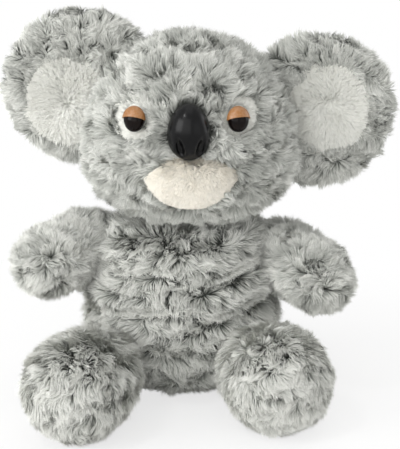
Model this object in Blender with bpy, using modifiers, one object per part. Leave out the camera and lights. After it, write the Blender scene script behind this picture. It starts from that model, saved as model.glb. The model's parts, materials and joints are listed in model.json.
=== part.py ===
"""Seated plush koala: stuffed cloth forms, sewn joints, moulded eyes and nose.

Metres, +Z up. The toy faces -Y and sits on Z = 0, with the origin under its seat.
Its left side is +X and its right side is -X.
"""

from math import acos, cos, pi, radians, sin

import bmesh
import bpy
from mathutils import Matrix, Vector

# Cloth, thread and running gaps
PILE_CLOTH = 0.0040
EAR_CLOTH = 0.0028
GAP = 0.0003
THREAD_RADIUS = 0.0005
OVERRUN = 0.0300

# Torso, a stuffed pear
TORSO_HALF_WIDTH = 0.0600
TORSO_HALF_DEPTH = 0.0480
TORSO_CROWN = 0.1240
FLOOR_CUT = 0.0005
NECK_CUT = 0.0110
NECK_HEIGHT = TORSO_CROWN - NECK_CUT
NECK_X = 0.0030
NECK_Y = -0.0050
NECK_MOUTH_RADIUS = 0.0080
SLIT_HALF_WIDTH = 0.0010
SLIT_LOW = 0.0400
SLIT_NECK_CLEARANCE = 0.0180
SLIT_HIGH = NECK_HEIGHT - SLIT_NECK_CLEARANCE
CLOSING_STITCHES = 9
CLOSING_STITCH_BITE = 0.0012
CLOSING_STITCH_STANDOFF = 0.0004

# Neck seam
NECK_GAP = 0.0008
NECK_RING_RADIUS = 0.0180
NECK_NOD_HEIGHT = 0.1530
NECK_STITCHES = 12
NECK_STITCH_SWING = 0.0010

# Head
HEAD_CENTRE_X = 0.0060
HEAD_CENTRE_Y = -0.0060
HEAD_HALF_WIDTH = 0.0655
HEAD_HALF_DEPTH = 0.0560
HEAD_CROWN = 0.2290
RIGHT_CHEEK_X = HEAD_CENTRE_X - HEAD_HALF_WIDTH
LEFT_CHEEK_X = HEAD_CENTRE_X + HEAD_HALF_WIDTH
FACE_Y = HEAD_CENTRE_Y - HEAD_HALF_DEPTH

# Ears: hinge line on the side of the head, and the flat disc beyond it
EAR_ROOT_RADIUS = 0.0080
EAR_HALF_SPAN = 0.0500
EAR_HALF_DEPTH = 0.0090
EAR_ROOT_HALF_SPAN = 0.0260
EAR_HEAD_CLEARANCE = 0.0026
EAR_MOUTH_HALF_SPAN = 0.0200
EAR_MOUTH_HALF_WIDTH = 0.0012
EAR_Y = 0.0060
RIGHT_EAR_BITE = 0.0035
LEFT_EAR_BITE = 0.0010
RIGHT_EAR_HINGE = Vector((RIGHT_CHEEK_X + RIGHT_EAR_BITE, EAR_Y, 0.1890))
LEFT_EAR_HINGE = Vector((LEFT_CHEEK_X - LEFT_EAR_BITE, EAR_Y, 0.1780))
RIGHT_EAR_CENTRE = RIGHT_EAR_HINGE + Vector((-0.0050, 0.0, 0.0050))
LEFT_EAR_CENTRE = LEFT_EAR_HINGE + Vector((0.0135, 0.0, 0.0010))
RIGHT_EAR_TILT = radians(20.0)
LEFT_EAR_TILT = radians(12.0)

# White patch in the front of each ear
EAR_PATCH_HALF_WIDTH = 0.0240
EAR_PATCH_HALF_HEIGHT = 0.0262
EAR_PATCH_HEAD_CLEARANCE = 0.0060
RIGHT_EAR_PATCH_CENTRE = RIGHT_EAR_CENTRE + Vector((-0.0090, -EAR_Y, -0.0080))
LEFT_EAR_PATCH_CENTRE = LEFT_EAR_CENTRE + Vector((0.0075, -EAR_Y, 0.0020))

# Arms: stuffed stubs whose round roots nest in the shoulders
ARM_ROOT_RADIUS = 0.0230
ARM_HALF_WIDTH = 0.0225
RIGHT_SHOULDER = Vector((-0.0600, -0.0020, 0.0960))
LEFT_SHOULDER = Vector((0.0620, -0.0020, 0.0900))
RIGHT_PAW = Vector((-0.0820, -0.0240, 0.0895))
LEFT_PAW = Vector((0.0865, -0.0240, 0.0785))
PAW_TIP = 0.0215
LIMB_MOUTH_RADIUS = 0.0060

# Legs: stuffed, with the sole facing forward
LEG_ROOT_RADIUS = 0.0240
FOOT_HALF_WIDTH = 0.0320
RIGHT_HIP = Vector((-0.0465, -0.0430, 0.0290))
LEFT_HIP = Vector((0.0465, -0.0420, 0.0290))
RIGHT_FOOT = Vector((-0.0620, -0.0920, 0.0315))
LEFT_FOOT = Vector((0.0600, -0.0770, 0.0315))
SOLE_TIP = 0.0270

# White patches of the face
PATCH_THICKNESS = 0.0014
EYE_PATCH_HALF_WIDTH = 0.0115
EYE_PATCH_HALF_HEIGHT = 0.0145
RIGHT_EYE_PATCH_SHARE = 0.534
LEFT_EYE_PATCH_SHARE = 0.450
RIGHT_EYE_PATCH_CENTRE = Vector((HEAD_CENTRE_X - RIGHT_EYE_PATCH_SHARE * HEAD_HALF_WIDTH, 0.0, 0.1850))
LEFT_EYE_PATCH_CENTRE = Vector((HEAD_CENTRE_X + LEFT_EYE_PATCH_SHARE * HEAD_HALF_WIDTH, 0.0, 0.1870))
MUZZLE_SINK = 0.0090
MUZZLE_CENTRE = Vector((HEAD_CENTRE_X + 0.0010, FACE_Y + MUZZLE_SINK, 0.1490))
MUZZLE_HALF_WIDTH = 0.0275
MUZZLE_HALF_HEIGHT = 0.0160
MUZZLE_HALF_DEPTH = 0.0150
MUZZLE_SEGMENTS = 16

# Moulded eyes with a shank, fixed lids and lock washers
EYE_RADIUS = 0.0062
EYE_DOME = 0.0050
EYE_FLANGE = 0.0010
EYE_SHANK_RADIUS = 0.0019
EYE_SHANK_LENGTH = 0.0130
EYE_YAW = radians(21.0)
EYE_PITCH = radians(7.0)
RIGHT_EYE_SHARE = 0.496
LEFT_EYE_SHARE = 0.421
RIGHT_EYE_X = HEAD_CENTRE_X - RIGHT_EYE_SHARE * HEAD_HALF_WIDTH
LEFT_EYE_X = HEAD_CENTRE_X + LEFT_EYE_SHARE * HEAD_HALF_WIDTH
EYE_HEIGHT = 0.1855
EYE_LANE_SHARE = 0.84
EYE_SEAT = 0.0018
EYE_ARC_STEPS = 5
TURN_STEPS = 16
LID_SEGMENTS = 14
LID_WALL = 0.0007
LID_ANGLE = radians(12.0)
WASHER_RADIUS = 0.0060
WASHER_THICKNESS = 0.0012
WASHER_BITE = 0.0005

# Moulded nose
NOSE_CENTRE = Vector((0.0056, 0.0, 0.1800))
NOSE_HALF_WIDTH = 0.0130
NOSE_HALF_HEIGHT = 0.0175
NOSE_PROUD = 0.0120
NOSE_TAPER_SHARE = 0.14
NOSE_SHANK_RADIUS = 0.0028
NOSE_SHANK_LENGTH = 0.0160
NOSE_WASHER_RADIUS = 0.0085
NOSE_SEGMENTS = 20
NOSTRIL_SEGMENTS = 12
NOSTRIL_HALF_WIDTH = 0.0024
NOSTRIL_HALF_HEIGHT = 0.0062
NOSTRIL_HALF_DEPTH = 0.0030
NOSTRIL_SPREAD = 0.0062
NOSTRIL_DROP = 0.0100
NOSTRIL_LEAN = radians(16.0)

# Profiles: height along the form, half width, half depth and forward lean, as shares of its box
TORSO_SHARES = (
    (0.02, 0.62, 0.62, 0.00),
    (0.20, 1.00, 1.00, 0.04),
    (0.44, 1.00, 1.00, 0.06),
    (0.68, 0.95, 0.92, 0.02),
    (0.90, 0.78, 0.76, 0.00),
)
HEAD_SHARES = (
    (0.06, 0.62, 0.60, 0.00),
    (0.25, 1.05, 1.00, 0.02),
    (0.52, 1.02, 1.02, 0.02),
    (0.78, 0.84, 0.86, 0.00),
    (0.95, 0.44, 0.46, 0.00),
)
EAR_SHARES = (
    (0.10, 0.78, 0.78, 0.00),
    (0.50, 1.00, 1.00, 0.00),
    (0.90, 0.78, 0.78, 0.00),
)
ARM_SHARES = (
    (0.06, 0.54, 0.54, 0.00),
    (0.24, 0.86, 0.86, 0.00),
    (0.50, 0.95, 0.95, 0.00),
    (0.76, 1.02, 1.02, 0.00),
    (0.95, 0.62, 0.62, 0.00),
)
LEG_SHARES = (
    (0.07, 0.44, 0.44, 0.00),
    (0.28, 0.70, 0.70, 0.00),
    (0.66, 1.00, 1.00, 0.00),
    (0.94, 0.76, 0.76, 0.00),
)
BODY_SIDES = 8
LIMB_SIDES = 8
EAR_SIDES = 12
BALL_SEGMENTS = 16
ROOT_SEGMENTS = 14
PLAIN_BALL_SEGMENTS = 12
ROD_SEGMENTS = 14
PATCH_SEGMENTS = 22
FINE_LEVELS = 2
PLAIN_LEVELS = 1

COLOURS = {
    "plush": (0.42, 0.45, 0.44, 1.0),
    "white_pile": (0.85, 0.84, 0.80, 1.0),
    "filling": (0.90, 0.90, 0.88, 1.0),
    "nose_black": (0.012, 0.012, 0.014, 1.0),
    "eye_brown": (0.020, 0.010, 0.008, 1.0),
    "lid_tan": (0.55, 0.30, 0.13, 1.0),
    "washer_white": (0.75, 0.75, 0.72, 1.0),
    "thread_grey": (0.35, 0.37, 0.36, 1.0),
}


def clear_scene():
    """Remove what the scene holds."""
    for obj in list(bpy.data.objects):
        bpy.data.objects.remove(obj, do_unlink=True)


def new_collection(name):
    """A collection linked to the scene."""
    collection = bpy.data.collections.new(name)
    bpy.context.scene.collection.children.link(collection)
    return collection


clear_scene()
PARTS = new_collection("plush_koala")
CUTTERS = new_collection("cutters")
CUTTERS.hide_render = True


def finish(name, colour, roughness):
    """A Principled material for one sub-part."""
    material = bpy.data.materials.new(name + "_finish")
    material.use_nodes = True
    shader = material.node_tree.nodes["Principled BSDF"]
    shader.inputs["Base Color"].default_value = COLOURS[colour]
    shader.inputs["Roughness"].default_value = roughness
    shader.inputs["Metallic"].default_value = 0.0
    return material


def add_part(name, mesh, colour, roughness=0.9, frame=None):
    """A visible sub-part with its own material."""
    obj = bpy.data.objects.new(name, mesh)
    PARTS.objects.link(obj)
    obj.parent = frame
    obj.data.materials.append(finish(name, colour, roughness))
    return obj


def add_cutter(name, mesh, frame=None):
    """A helper that only shapes other pieces."""
    obj = bpy.data.objects.new(name, mesh)
    CUTTERS.objects.link(obj)
    obj.parent = frame
    obj.hide_render = True
    obj.display_type = "WIRE"
    return obj


def add_frame(name, place, matrix=None):
    """An empty on a joint, which carries the pieces that move there."""
    empty = bpy.data.objects.new(name, None)
    PARTS.objects.link(empty)
    turn = matrix if matrix is not None else Matrix.Identity(3)
    empty.matrix_world = Matrix.Translation(place) @ turn.to_4x4()
    return empty


def along(direction, up):
    """Rotation whose Z lies along direction, with its Y as near up as it can be."""
    z_axis = direction.normalized()
    x_axis = up.cross(z_axis).normalized()
    y_axis = z_axis.cross(x_axis)
    return Matrix((x_axis, y_axis, z_axis)).transposed()


def subdivide(obj, levels):
    """Smooth a coarse cage, with its curved faces split alike on a form and on what fits inside it."""
    modifier = obj.modifiers.new("swell", "SUBSURF")
    modifier.levels = levels
    modifier.render_levels = levels
    split = obj.modifiers.new("split", "TRIANGULATE")
    split.quad_method = "FIXED"


def combine(obj, other, operation):
    """An exact Boolean with another closed form."""
    modifier = obj.modifiers.new(other.name, "BOOLEAN")
    modifier.operation = operation
    modifier.object = other


def cut(obj, *others):
    """Take other closed forms away from one."""
    for other in others:
        combine(obj, other, "DIFFERENCE")


def evaluated_box(obj):
    """Lowest and highest corners of a piece, in its own frame, as its modifiers leave it."""
    bpy.context.view_layer.update()
    smooth = obj.evaluated_get(bpy.context.evaluated_depsgraph_get())
    corners = [vertex.co.copy() for vertex in smooth.data.vertices]
    low = Vector([min(corner[axis] for corner in corners) for axis in range(3)])
    high = Vector([max(corner[axis] for corner in corners) for axis in range(3)])
    return low, high


def cage_mesh(name, sides, shares):
    """A ball of few faces whose rings follow a profile of shares.

    Ring k of the ball lies at the k-th share of the height. Its points lie on an ellipse of the half width
    and half depth shares, moved forward by the lean share.
    """
    mesh = bpy.data.meshes.new(name)
    cage = bmesh.new()
    rings = len(shares) + 1
    bmesh.ops.create_uvsphere(cage, u_segments=sides, v_segments=rings, radius=1.0)
    for vertex in cage.verts:
        ring = round((1.0 - acos(max(-1.0, min(1.0, vertex.co.z))) / pi) * rings)
        if ring in (0, rings):
            vertex.co = Vector((0.0, 0.0, ring / rings))
            continue
        height, width, depth, lean = shares[ring - 1]
        around = Vector((vertex.co.x, vertex.co.y, 0.0)).normalized()
        vertex.co = Vector((around.x * width, around.y * depth - lean, height))
    bmesh.ops.recalc_face_normals(cage, faces=cage.faces)
    cage.to_mesh(mesh)
    cage.free()
    return mesh


def swell(name, sides, shares, levels, box, frame=None):
    """A soft form that fills its box: a coarse cage, smoothed, and stretched so that the smooth form fits."""
    form = add_cutter(name, cage_mesh(name, sides, shares), frame)
    subdivide(form, levels)
    low, high = evaluated_box(form)
    wanted_low, wanted_high = box
    for vertex in form.data.vertices:
        for axis in range(3):
            share = (vertex.co[axis] - low[axis]) / (high[axis] - low[axis])
            vertex.co[axis] = wanted_low[axis] + share * (wanted_high[axis] - wanted_low[axis])
    return form


def shrunk(box, inset):
    """A box moved in by the same distance on all its sides."""
    low, high = box
    step = Vector((inset, inset, inset))
    return low + step, high - step


def ball(name, radius, place, frame=None, segments=BALL_SEGMENTS):
    """A round cutter whose flat facets stay outside the radius."""
    mesh = bpy.data.meshes.new(name)
    shape = bmesh.new()
    outer = radius / cos(pi / segments) ** 2
    bmesh.ops.create_uvsphere(shape, u_segments=segments, v_segments=segments // 2, radius=outer)
    shape.to_mesh(mesh)
    shape.free()
    obj = add_cutter(name, mesh, frame)
    obj.location = place
    return obj


def rod(name, radius, length, place, turn, frame=None, segments=ROD_SEGMENTS, width_share=1.0):
    """A round bar centred on its place, with its axis along the turned Z and its flats at the radius."""
    mesh = bpy.data.meshes.new(name)
    shape = bmesh.new()
    outer = radius / cos(pi / segments)
    bmesh.ops.create_cone(
        shape, cap_ends=True, segments=segments, radius1=outer, radius2=outer, depth=length
    )
    bmesh.ops.scale(shape, vec=Vector((width_share, 1.0, 1.0)), verts=shape.verts)
    shape.to_mesh(mesh)
    shape.free()
    obj = add_cutter(name, mesh, frame)
    obj.rotation_euler = turn.to_euler()
    obj.location = place
    return obj


def block(name, low, high, frame=None):
    """A box between two corners."""
    mesh = bpy.data.meshes.new(name)
    shape = bmesh.new()
    bmesh.ops.create_cube(shape, size=1.0)
    size = high - low
    bmesh.ops.scale(shape, vec=size, verts=shape.verts)
    bmesh.ops.translate(shape, vec=(low + high) / 2, verts=shape.verts)
    shape.to_mesh(mesh)
    shape.free()
    return add_cutter(name, mesh, frame)


def as_part(form, name, colour, roughness=0.9):
    """Turn a shaped helper into a visible sub-part under its own name."""
    CUTTERS.objects.unlink(form)
    PARTS.objects.link(form)
    form.name = name
    form.hide_render = False
    form.display_type = "TEXTURED"
    form.data.materials.append(finish(name, colour, roughness))
    form.data.shade_smooth()
    return form


def depth_along(form, start, direction):
    """Distance from a start point to a form's surface, along a direction, in world space."""
    bpy.context.view_layer.update()
    smooth = form.evaluated_get(bpy.context.evaluated_depsgraph_get())
    to_local = form.matrix_world.inverted()
    local_start = to_local @ start
    local_direction = (to_local.to_3x3() @ direction).normalized()
    hit, point, _, _ = smooth.ray_cast(local_start, local_direction)
    if not hit:
        raise ValueError("no surface of " + form.name + " on that line")
    return (form.matrix_world @ point - start).length


def torso_form(name, inset):
    """The stuffed pear, flat under the seat and at the neck, with the limbs' dimples, moved in by the inset."""
    low = Vector((-TORSO_HALF_WIDTH, -TORSO_HALF_DEPTH, -FLOOR_CUT))
    high = Vector((TORSO_HALF_WIDTH, TORSO_HALF_DEPTH, TORSO_CROWN))
    levels = PLAIN_LEVELS if inset else FINE_LEVELS
    form = swell(name, BODY_SIDES, TORSO_SHARES, levels, shrunk((low, high), inset))
    wide = Vector((TORSO_HALF_WIDTH + OVERRUN, TORSO_HALF_DEPTH + OVERRUN, 0.0))
    over_neck = block(
        name + "_over_neck",
        Vector((-wide.x, -wide.y, NECK_HEIGHT - inset)),
        Vector((wide.x, wide.y, TORSO_CROWN + OVERRUN)),
    )
    cut(form, over_neck)
    if not inset:
        under_floor = block(
            name + "_under_floor",
            Vector((-wide.x, -wide.y, -OVERRUN)),
            Vector((wide.x, wide.y, 0.0)),
        )
        cut(form, under_floor)
    dimples = (
        (ARM_ROOT_RADIUS, RIGHT_SHOULDER),
        (ARM_ROOT_RADIUS, LEFT_SHOULDER),
        (LEG_ROOT_RADIUS, RIGHT_HIP),
        (LEG_ROOT_RADIUS, LEFT_HIP),
    )
    for radius, place in dimples:
        segments = PLAIN_BALL_SEGMENTS if inset else BALL_SEGMENTS
        cut(form, ball(name + "_dimple", radius + GAP + inset, place, segments=segments))
    return form


def ear_axes(side):
    """Hinge place and directions of an ear: up along the hinge, and outwards to its rim."""
    if side == "right":
        tilt = RIGHT_EAR_TILT
        return RIGHT_EAR_HINGE, Vector((sin(tilt), 0.0, cos(tilt))), Vector((-cos(tilt), 0.0, sin(tilt)))
    tilt = LEFT_EAR_TILT
    return LEFT_EAR_HINGE, Vector((-sin(tilt), 0.0, cos(tilt))), Vector((cos(tilt), 0.0, sin(tilt)))


def ear_turn(side):
    """Rotation of an ear's frame: X along the hinge, Z outwards."""
    _, hinge, outwards = ear_axes(side)
    return Matrix((hinge, outwards.cross(hinge), outwards)).transposed()


def head_form(name, inset):
    """The stuffed head with the grooves of the ears, moved in by the inset; a negative one grows it."""
    low = Vector((HEAD_CENTRE_X - HEAD_HALF_WIDTH, HEAD_CENTRE_Y - HEAD_HALF_DEPTH, NECK_HEIGHT + NECK_GAP))
    high = Vector((HEAD_CENTRE_X + HEAD_HALF_WIDTH, HEAD_CENTRE_Y + HEAD_HALF_DEPTH, HEAD_CROWN))
    centre = (low + high) / 2
    box = shrunk((low - centre, high - centre), inset)
    levels = PLAIN_LEVELS if inset > GAP else FINE_LEVELS
    form = swell(name, BODY_SIDES, HEAD_SHARES, levels, box)
    form.location = centre
    if inset >= 0.0:
        for side in ("right", "left"):
            hinge_place, hinge, _ = ear_axes(side)
            groove = rod(
                name + "_groove",
                EAR_ROOT_RADIUS + GAP + inset,
                2 * (EAR_HALF_SPAN + OVERRUN),
                hinge_place,
                along(hinge, Vector((0.0, 1.0, 0.0))),
            )
            cut(form, groove)
    return form


def limb_form(name, root_radius, half_width, length, tip, shares, inset, frame):
    """A stuffed limb along the Z of its frame, from its round root past its end point to the tip."""
    low = Vector((-half_width, -half_width, -root_radius))
    high = Vector((half_width, half_width, length + tip))
    return swell(name, LIMB_SIDES, shares, PLAIN_LEVELS, shrunk((low, high), inset), frame)


def make_torso():
    """Torso cloth with its seat, neck mouth and closing slit, its filling, and the thread over the slit."""
    skin = torso_form("torso_skin", 0.0)
    cavity = torso_form("torso_cavity", PILE_CLOTH)
    mouth = rod(
        "torso_neck_mouth",
        NECK_MOUTH_RADIUS,
        2 * OVERRUN,
        Vector((NECK_X, NECK_Y, NECK_HEIGHT)),
        Matrix.Identity(3),
    )
    slit = block(
        "torso_slit",
        Vector((-SLIT_HALF_WIDTH, 0.0, SLIT_LOW)),
        Vector((SLIT_HALF_WIDTH, TORSO_HALF_DEPTH + OVERRUN, SLIT_HIGH)),
    )
    outline = torso_form("torso_outline", 0.0)
    cut(skin, cavity, mouth, slit)
    as_part(skin, "torso_skin", "plush")
    as_part(torso_form("torso_filling", PILE_CLOTH + GAP), "torso_filling", "filling")
    make_closing_thread(outline)


def make_closing_thread(outline):
    """Ladder stitches that zigzag over the closing slit, one smooth step clear of the cloth."""
    rise = SLIT_HIGH - SLIT_LOW
    swing = SLIT_HALF_WIDTH + CLOSING_STITCH_BITE
    points = []
    for step in range(2 * CLOSING_STITCHES + 1):
        height = SLIT_LOW + rise * step / (2 * CLOSING_STITCHES)
        start = Vector((swing if step % 2 else -swing, TORSO_HALF_DEPTH + OVERRUN, height))
        direction = Vector((0.0, -1.0, 0.0))
        reach = depth_along(outline, start, direction)
        points.append(start + direction * (reach - THREAD_RADIUS - CLOSING_STITCH_STANDOFF))
    add_thread("closing_thread", points, False)


def add_thread(name, points, closed, frame=None):
    """A tube of thread through a row of points."""
    curve = bpy.data.curves.new(name, "CURVE")
    curve.dimensions = "3D"
    curve.bevel_depth = THREAD_RADIUS
    curve.bevel_resolution = 1
    curve.use_fill_caps = not closed
    spline = curve.splines.new("POLY")
    spline.points.add(len(points) - 1)
    for point, place in zip(spline.points, points):
        point.co = (place.x, place.y, place.z, 1.0)
    spline.use_cyclic_u = closed
    return add_part(name, curve, "thread_grey", 0.7, frame)


def make_neck():
    """The thread ring between head and torso, which carries the head."""
    frame = add_frame("neck_frame", Vector((NECK_X, NECK_Y, NECK_HEIGHT)))
    points = []
    for step in range(2 * NECK_STITCHES):
        angle = pi * step / NECK_STITCHES
        radius = NECK_RING_RADIUS + (NECK_STITCH_SWING if step % 2 else -NECK_STITCH_SWING)
        points.append(Vector((radius * cos(angle), radius * sin(angle), GAP + THREAD_RADIUS)))
    add_thread("neck_stitching", points, True, frame)


def make_head():
    """Head cloth and filling, with the holes and pockets of the eyes and nose, and all the face pieces."""
    nod = Vector((NECK_X, NECK_Y, NECK_NOD_HEIGHT))
    frame = add_frame("head_frame", nod)
    skin = head_form("head_skin", 0.0)
    cavity = head_form("head_cavity", PILE_CLOTH)
    filling = head_form("head_filling", PILE_CLOTH + GAP)
    outline = head_form("head_outline", 0.0)
    seat = head_form("head_seat", -GAP)
    mouth = rod(
        "head_neck_mouth",
        NECK_MOUTH_RADIUS,
        2 * OVERRUN,
        Vector((NECK_X, NECK_Y, NECK_HEIGHT)),
        Matrix.Identity(3),
    )
    cut(skin, cavity, mouth)
    for side in ("right", "left"):
        make_eye(side, skin, cavity, filling, outline)
    make_nose(skin, cavity, filling, outline, seat)
    make_face_patches(seat)
    as_part(skin, "head_skin", "plush")
    as_part(filling, "head_filling", "filling")
    carry(frame, ("head_skin", "head_filling"))


def carry(frame, names):
    """Parent finished pieces to a joint's empty without moving them."""
    bpy.context.view_layer.update()
    for name in names:
        piece = bpy.data.objects[name]
        piece.parent = frame
        piece.matrix_parent_inverse = frame.matrix_world.inverted()


def fasten(name, skin, cavity, filling, outline, place, outwards, shank_radius, shank_length, washer_radius):
    """Bore the cloth for a shank, clear its pocket in the filling, and lock it with a washer.

    The washer presses a flat into the inside of the cloth. The place lies in front of the head. Returns the
    point where the shank's line meets the cloth.
    """
    inwards = -outwards
    turn = along(outwards, Vector((0.0, 0.0, 1.0)))
    surface = place + inwards * depth_along(outline, place, inwards)
    inner = place + inwards * depth_along(cavity, place, inwards)
    bore = rod(name + "_bore", shank_radius + GAP, 2 * OVERRUN, surface, turn)
    washer_face = inner + outwards * WASHER_BITE
    press = rod(
        name + "_press",
        washer_radius + GAP,
        washer_radius,
        washer_face + outwards * GAP + inwards * (washer_radius / 2),
        turn,
    )
    washer_middle = washer_face + inwards * (WASHER_THICKNESS / 2)
    washer = rod(name + "_washer_form", washer_radius, WASHER_THICKNESS, washer_middle, turn)
    pocket_depth = (surface - inner).length + shank_length
    pocket = rod(
        name + "_pocket",
        washer_radius + GAP,
        pocket_depth,
        surface + inwards * (pocket_depth / 2 + GAP),
        turn,
    )
    cut(skin, bore, press)
    cut(filling, pocket)
    cut(washer, bore)
    as_part(washer, name + "_washer", "washer_white", 0.5)
    return surface


def eye_place(side):
    """A point in front of an eye, and the way the eye looks."""
    sign = -1.0 if side == "right" else 1.0
    level = cos(EYE_PITCH)
    outwards = Vector((sign * sin(EYE_YAW) * level, -cos(EYE_YAW) * level, sin(EYE_PITCH)))
    x_place = RIGHT_EYE_X if side == "right" else LEFT_EYE_X
    lane = Vector((x_place, HEAD_CENTRE_Y - EYE_LANE_SHARE * HEAD_HALF_DEPTH, EYE_HEIGHT))
    return lane + outwards * OVERRUN, outwards


def make_eye(side, skin, cavity, filling, outline):
    """A moulded eye: dome, flange and shank turned from one profile, with a fixed lid over its upper part."""
    name = side + "_eye"
    place, outwards = eye_place(side)
    surface = fasten(
        name, skin, cavity, filling, outline, place, outwards, EYE_SHANK_RADIUS, EYE_SHANK_LENGTH,
        WASHER_RADIUS,
    )
    turn = along(outwards, Vector((0.0, 0.0, 1.0)))
    frame = add_frame(name + "_frame", surface + outwards * EYE_SEAT, turn)
    profile = []
    for step in range(EYE_ARC_STEPS + 1):
        angle = pi / 2 * (1 - step / EYE_ARC_STEPS)
        profile.append((EYE_RADIUS * cos(angle), EYE_FLANGE + EYE_DOME * sin(angle)))
    profile += [
        (EYE_RADIUS, 0.0),
        (EYE_SHANK_RADIUS, 0.0),
        (EYE_SHANK_RADIUS, -EYE_SHANK_LENGTH),
        (0.0, -EYE_SHANK_LENGTH),
    ]
    turned(name, profile, "eye_brown", 0.08, frame)
    make_lid(side, frame)
    carry(bpy.data.objects["head_frame"], (name + "_frame", name + "_washer"))


def turned(name, profile, colour, roughness, frame):
    """A solid turned about the Z of its frame from a profile of radius and height."""
    mesh = bpy.data.meshes.new(name)
    shape = bmesh.new()
    verts = [shape.verts.new((radius, 0.0, height)) for radius, height in profile]
    for first, second in zip(verts, verts[1:]):
        shape.edges.new((first, second))
    shape.to_mesh(mesh)
    shape.free()
    piece = add_part(name, mesh, colour, roughness, frame)
    spin = piece.modifiers.new("turn", "SCREW")
    spin.steps = TURN_STEPS
    spin.render_steps = TURN_STEPS
    spin.use_merge_vertices = True
    spin.merge_threshold = 0.00002
    spin.use_smooth_shade = True
    return piece


def make_lid(side, frame):
    """A fixed lid: a slice of a thin dome over the upper part of the eye, open below."""
    name = side + "_eyelid"
    radius = EYE_RADIUS + GAP + LID_WALL
    mesh = bpy.data.meshes.new(name)
    shape = bmesh.new()
    bmesh.ops.create_uvsphere(shape, u_segments=LID_SEGMENTS, v_segments=LID_SEGMENTS // 2, radius=radius)
    bmesh.ops.scale(shape, vec=Vector((1.0, 1.0, (EYE_DOME + GAP + LID_WALL) / radius)), verts=shape.verts)
    for point, normal in (
        (Vector((0.0, 0.0, 0.0)), Vector((0.0, 0.0, -1.0))),
        (Vector((0.0, 0.0, 0.0)), Vector((0.0, -cos(LID_ANGLE), sin(LID_ANGLE)))),
    ):
        bmesh.ops.bisect_plane(
            shape,
            geom=shape.verts[:] + shape.edges[:] + shape.faces[:],
            plane_co=point,
            plane_no=normal,
            clear_outer=True,
        )
    bmesh.ops.translate(shape, vec=Vector((0.0, 0.0, EYE_FLANGE)), verts=shape.verts)
    shape.to_mesh(mesh)
    shape.free()
    lid = add_part(name, mesh, "lid_tan", 0.45, frame)
    wall = lid.modifiers.new("wall", "SOLIDIFY")
    wall.thickness = LID_WALL
    wall.offset = -1.0
    return lid


def make_nose(skin, cavity, filling, outline, seat):
    """The moulded nose: an egg cut to the head, two nostril hollows, and a shank locked inside."""
    outwards = Vector((0.0, -1.0, 0.0))
    place = Vector((NOSE_CENTRE.x, HEAD_CENTRE_Y - HEAD_HALF_DEPTH - OVERRUN, NOSE_CENTRE.z))
    surface = fasten(
        "nose", skin, cavity, filling, outline, place, outwards, NOSE_SHANK_RADIUS, NOSE_SHANK_LENGTH,
        NOSE_WASHER_RADIUS,
    )
    egg = ball("nose_form", 1.0, surface, segments=NOSE_SEGMENTS)
    for vertex in egg.data.vertices:
        narrow = 1.0 - NOSE_TAPER_SHARE * vertex.co.z
        vertex.co.x = vertex.co.x * NOSE_HALF_WIDTH * narrow
        vertex.co.y = vertex.co.y * NOSE_PROUD
        vertex.co.z = vertex.co.z * NOSE_HALF_HEIGHT
    cut(egg, seat)
    shank = rod(
        "nose_shank",
        NOSE_SHANK_RADIUS,
        NOSE_SHANK_LENGTH + NOSE_PROUD / 2,
        surface - outwards * (NOSE_SHANK_LENGTH - NOSE_PROUD / 2) / 2,
        along(outwards, Vector((0.0, 0.0, 1.0))),
    )
    combine(egg, shank, "UNION")
    for sign in (-1.0, 1.0):
        nostril = ball("nose_nostril", 1.0, surface, segments=NOSTRIL_SEGMENTS)
        for vertex in nostril.data.vertices:
            vertex.co.x = vertex.co.x * NOSTRIL_HALF_WIDTH
            vertex.co.y = vertex.co.y * NOSTRIL_HALF_DEPTH
            vertex.co.z = vertex.co.z * NOSTRIL_HALF_HEIGHT
        nostril.rotation_euler = (0.0, sign * NOSTRIL_LEAN, 0.0)
        fall = 1.0 - (NOSTRIL_DROP / NOSE_HALF_HEIGHT) ** 2 - (NOSTRIL_SPREAD / NOSE_HALF_WIDTH) ** 2
        front = NOSE_PROUD * fall ** 0.5
        nostril.location = surface + Vector((sign * NOSTRIL_SPREAD, -front, -NOSTRIL_DROP))
        cut(egg, nostril)
    as_part(egg, "nose", "nose_black", 0.25)
    carry(bpy.data.objects["head_frame"], ("nose", "nose_washer"))


def make_face_patches(seat):
    """White pile round the eyes, and the white pad of the muzzle, all lying on the head."""
    cover = head_form("face_patch_cover", -GAP - PATCH_THICKNESS)
    forwards = along(Vector((0.0, -1.0, 0.0)), Vector((0.0, 0.0, 1.0)))
    for side in ("right", "left"):
        centre = RIGHT_EYE_PATCH_CENTRE if side == "right" else LEFT_EYE_PATCH_CENTRE
        reach = HEAD_HALF_DEPTH + OVERRUN
        patch = rod(
            side + "_eye_patch_form",
            EYE_PATCH_HALF_HEIGHT,
            reach,
            centre - Vector((0.0, reach / 2, 0.0)),
            forwards,
            segments=PATCH_SEGMENTS,
            width_share=EYE_PATCH_HALF_WIDTH / EYE_PATCH_HALF_HEIGHT,
        )
        combine(patch, cover, "INTERSECT")
        cut(patch, seat)
        place, outwards = eye_place(side)
        eye_hole = rod(
            side + "_eye_hole",
            EYE_RADIUS + 2 * GAP + LID_WALL,
            4 * OVERRUN,
            place,
            along(outwards, Vector((0.0, 0.0, 1.0))),
        )
        cut(patch, eye_hole)
        as_part(patch, side + "_eye_patch", "white_pile")
    pad = ball("muzzle_form", 1.0, MUZZLE_CENTRE, segments=MUZZLE_SEGMENTS)
    for vertex in pad.data.vertices:
        vertex.co.x = vertex.co.x * MUZZLE_HALF_WIDTH
        vertex.co.y = vertex.co.y * MUZZLE_HALF_DEPTH
        vertex.co.z = vertex.co.z * MUZZLE_HALF_HEIGHT
    cut(pad, seat)
    as_part(pad, "muzzle_patch", "white_pile")
    carry(bpy.data.objects["head_frame"], ("right_eye_patch", "left_eye_patch", "muzzle_patch"))


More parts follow.
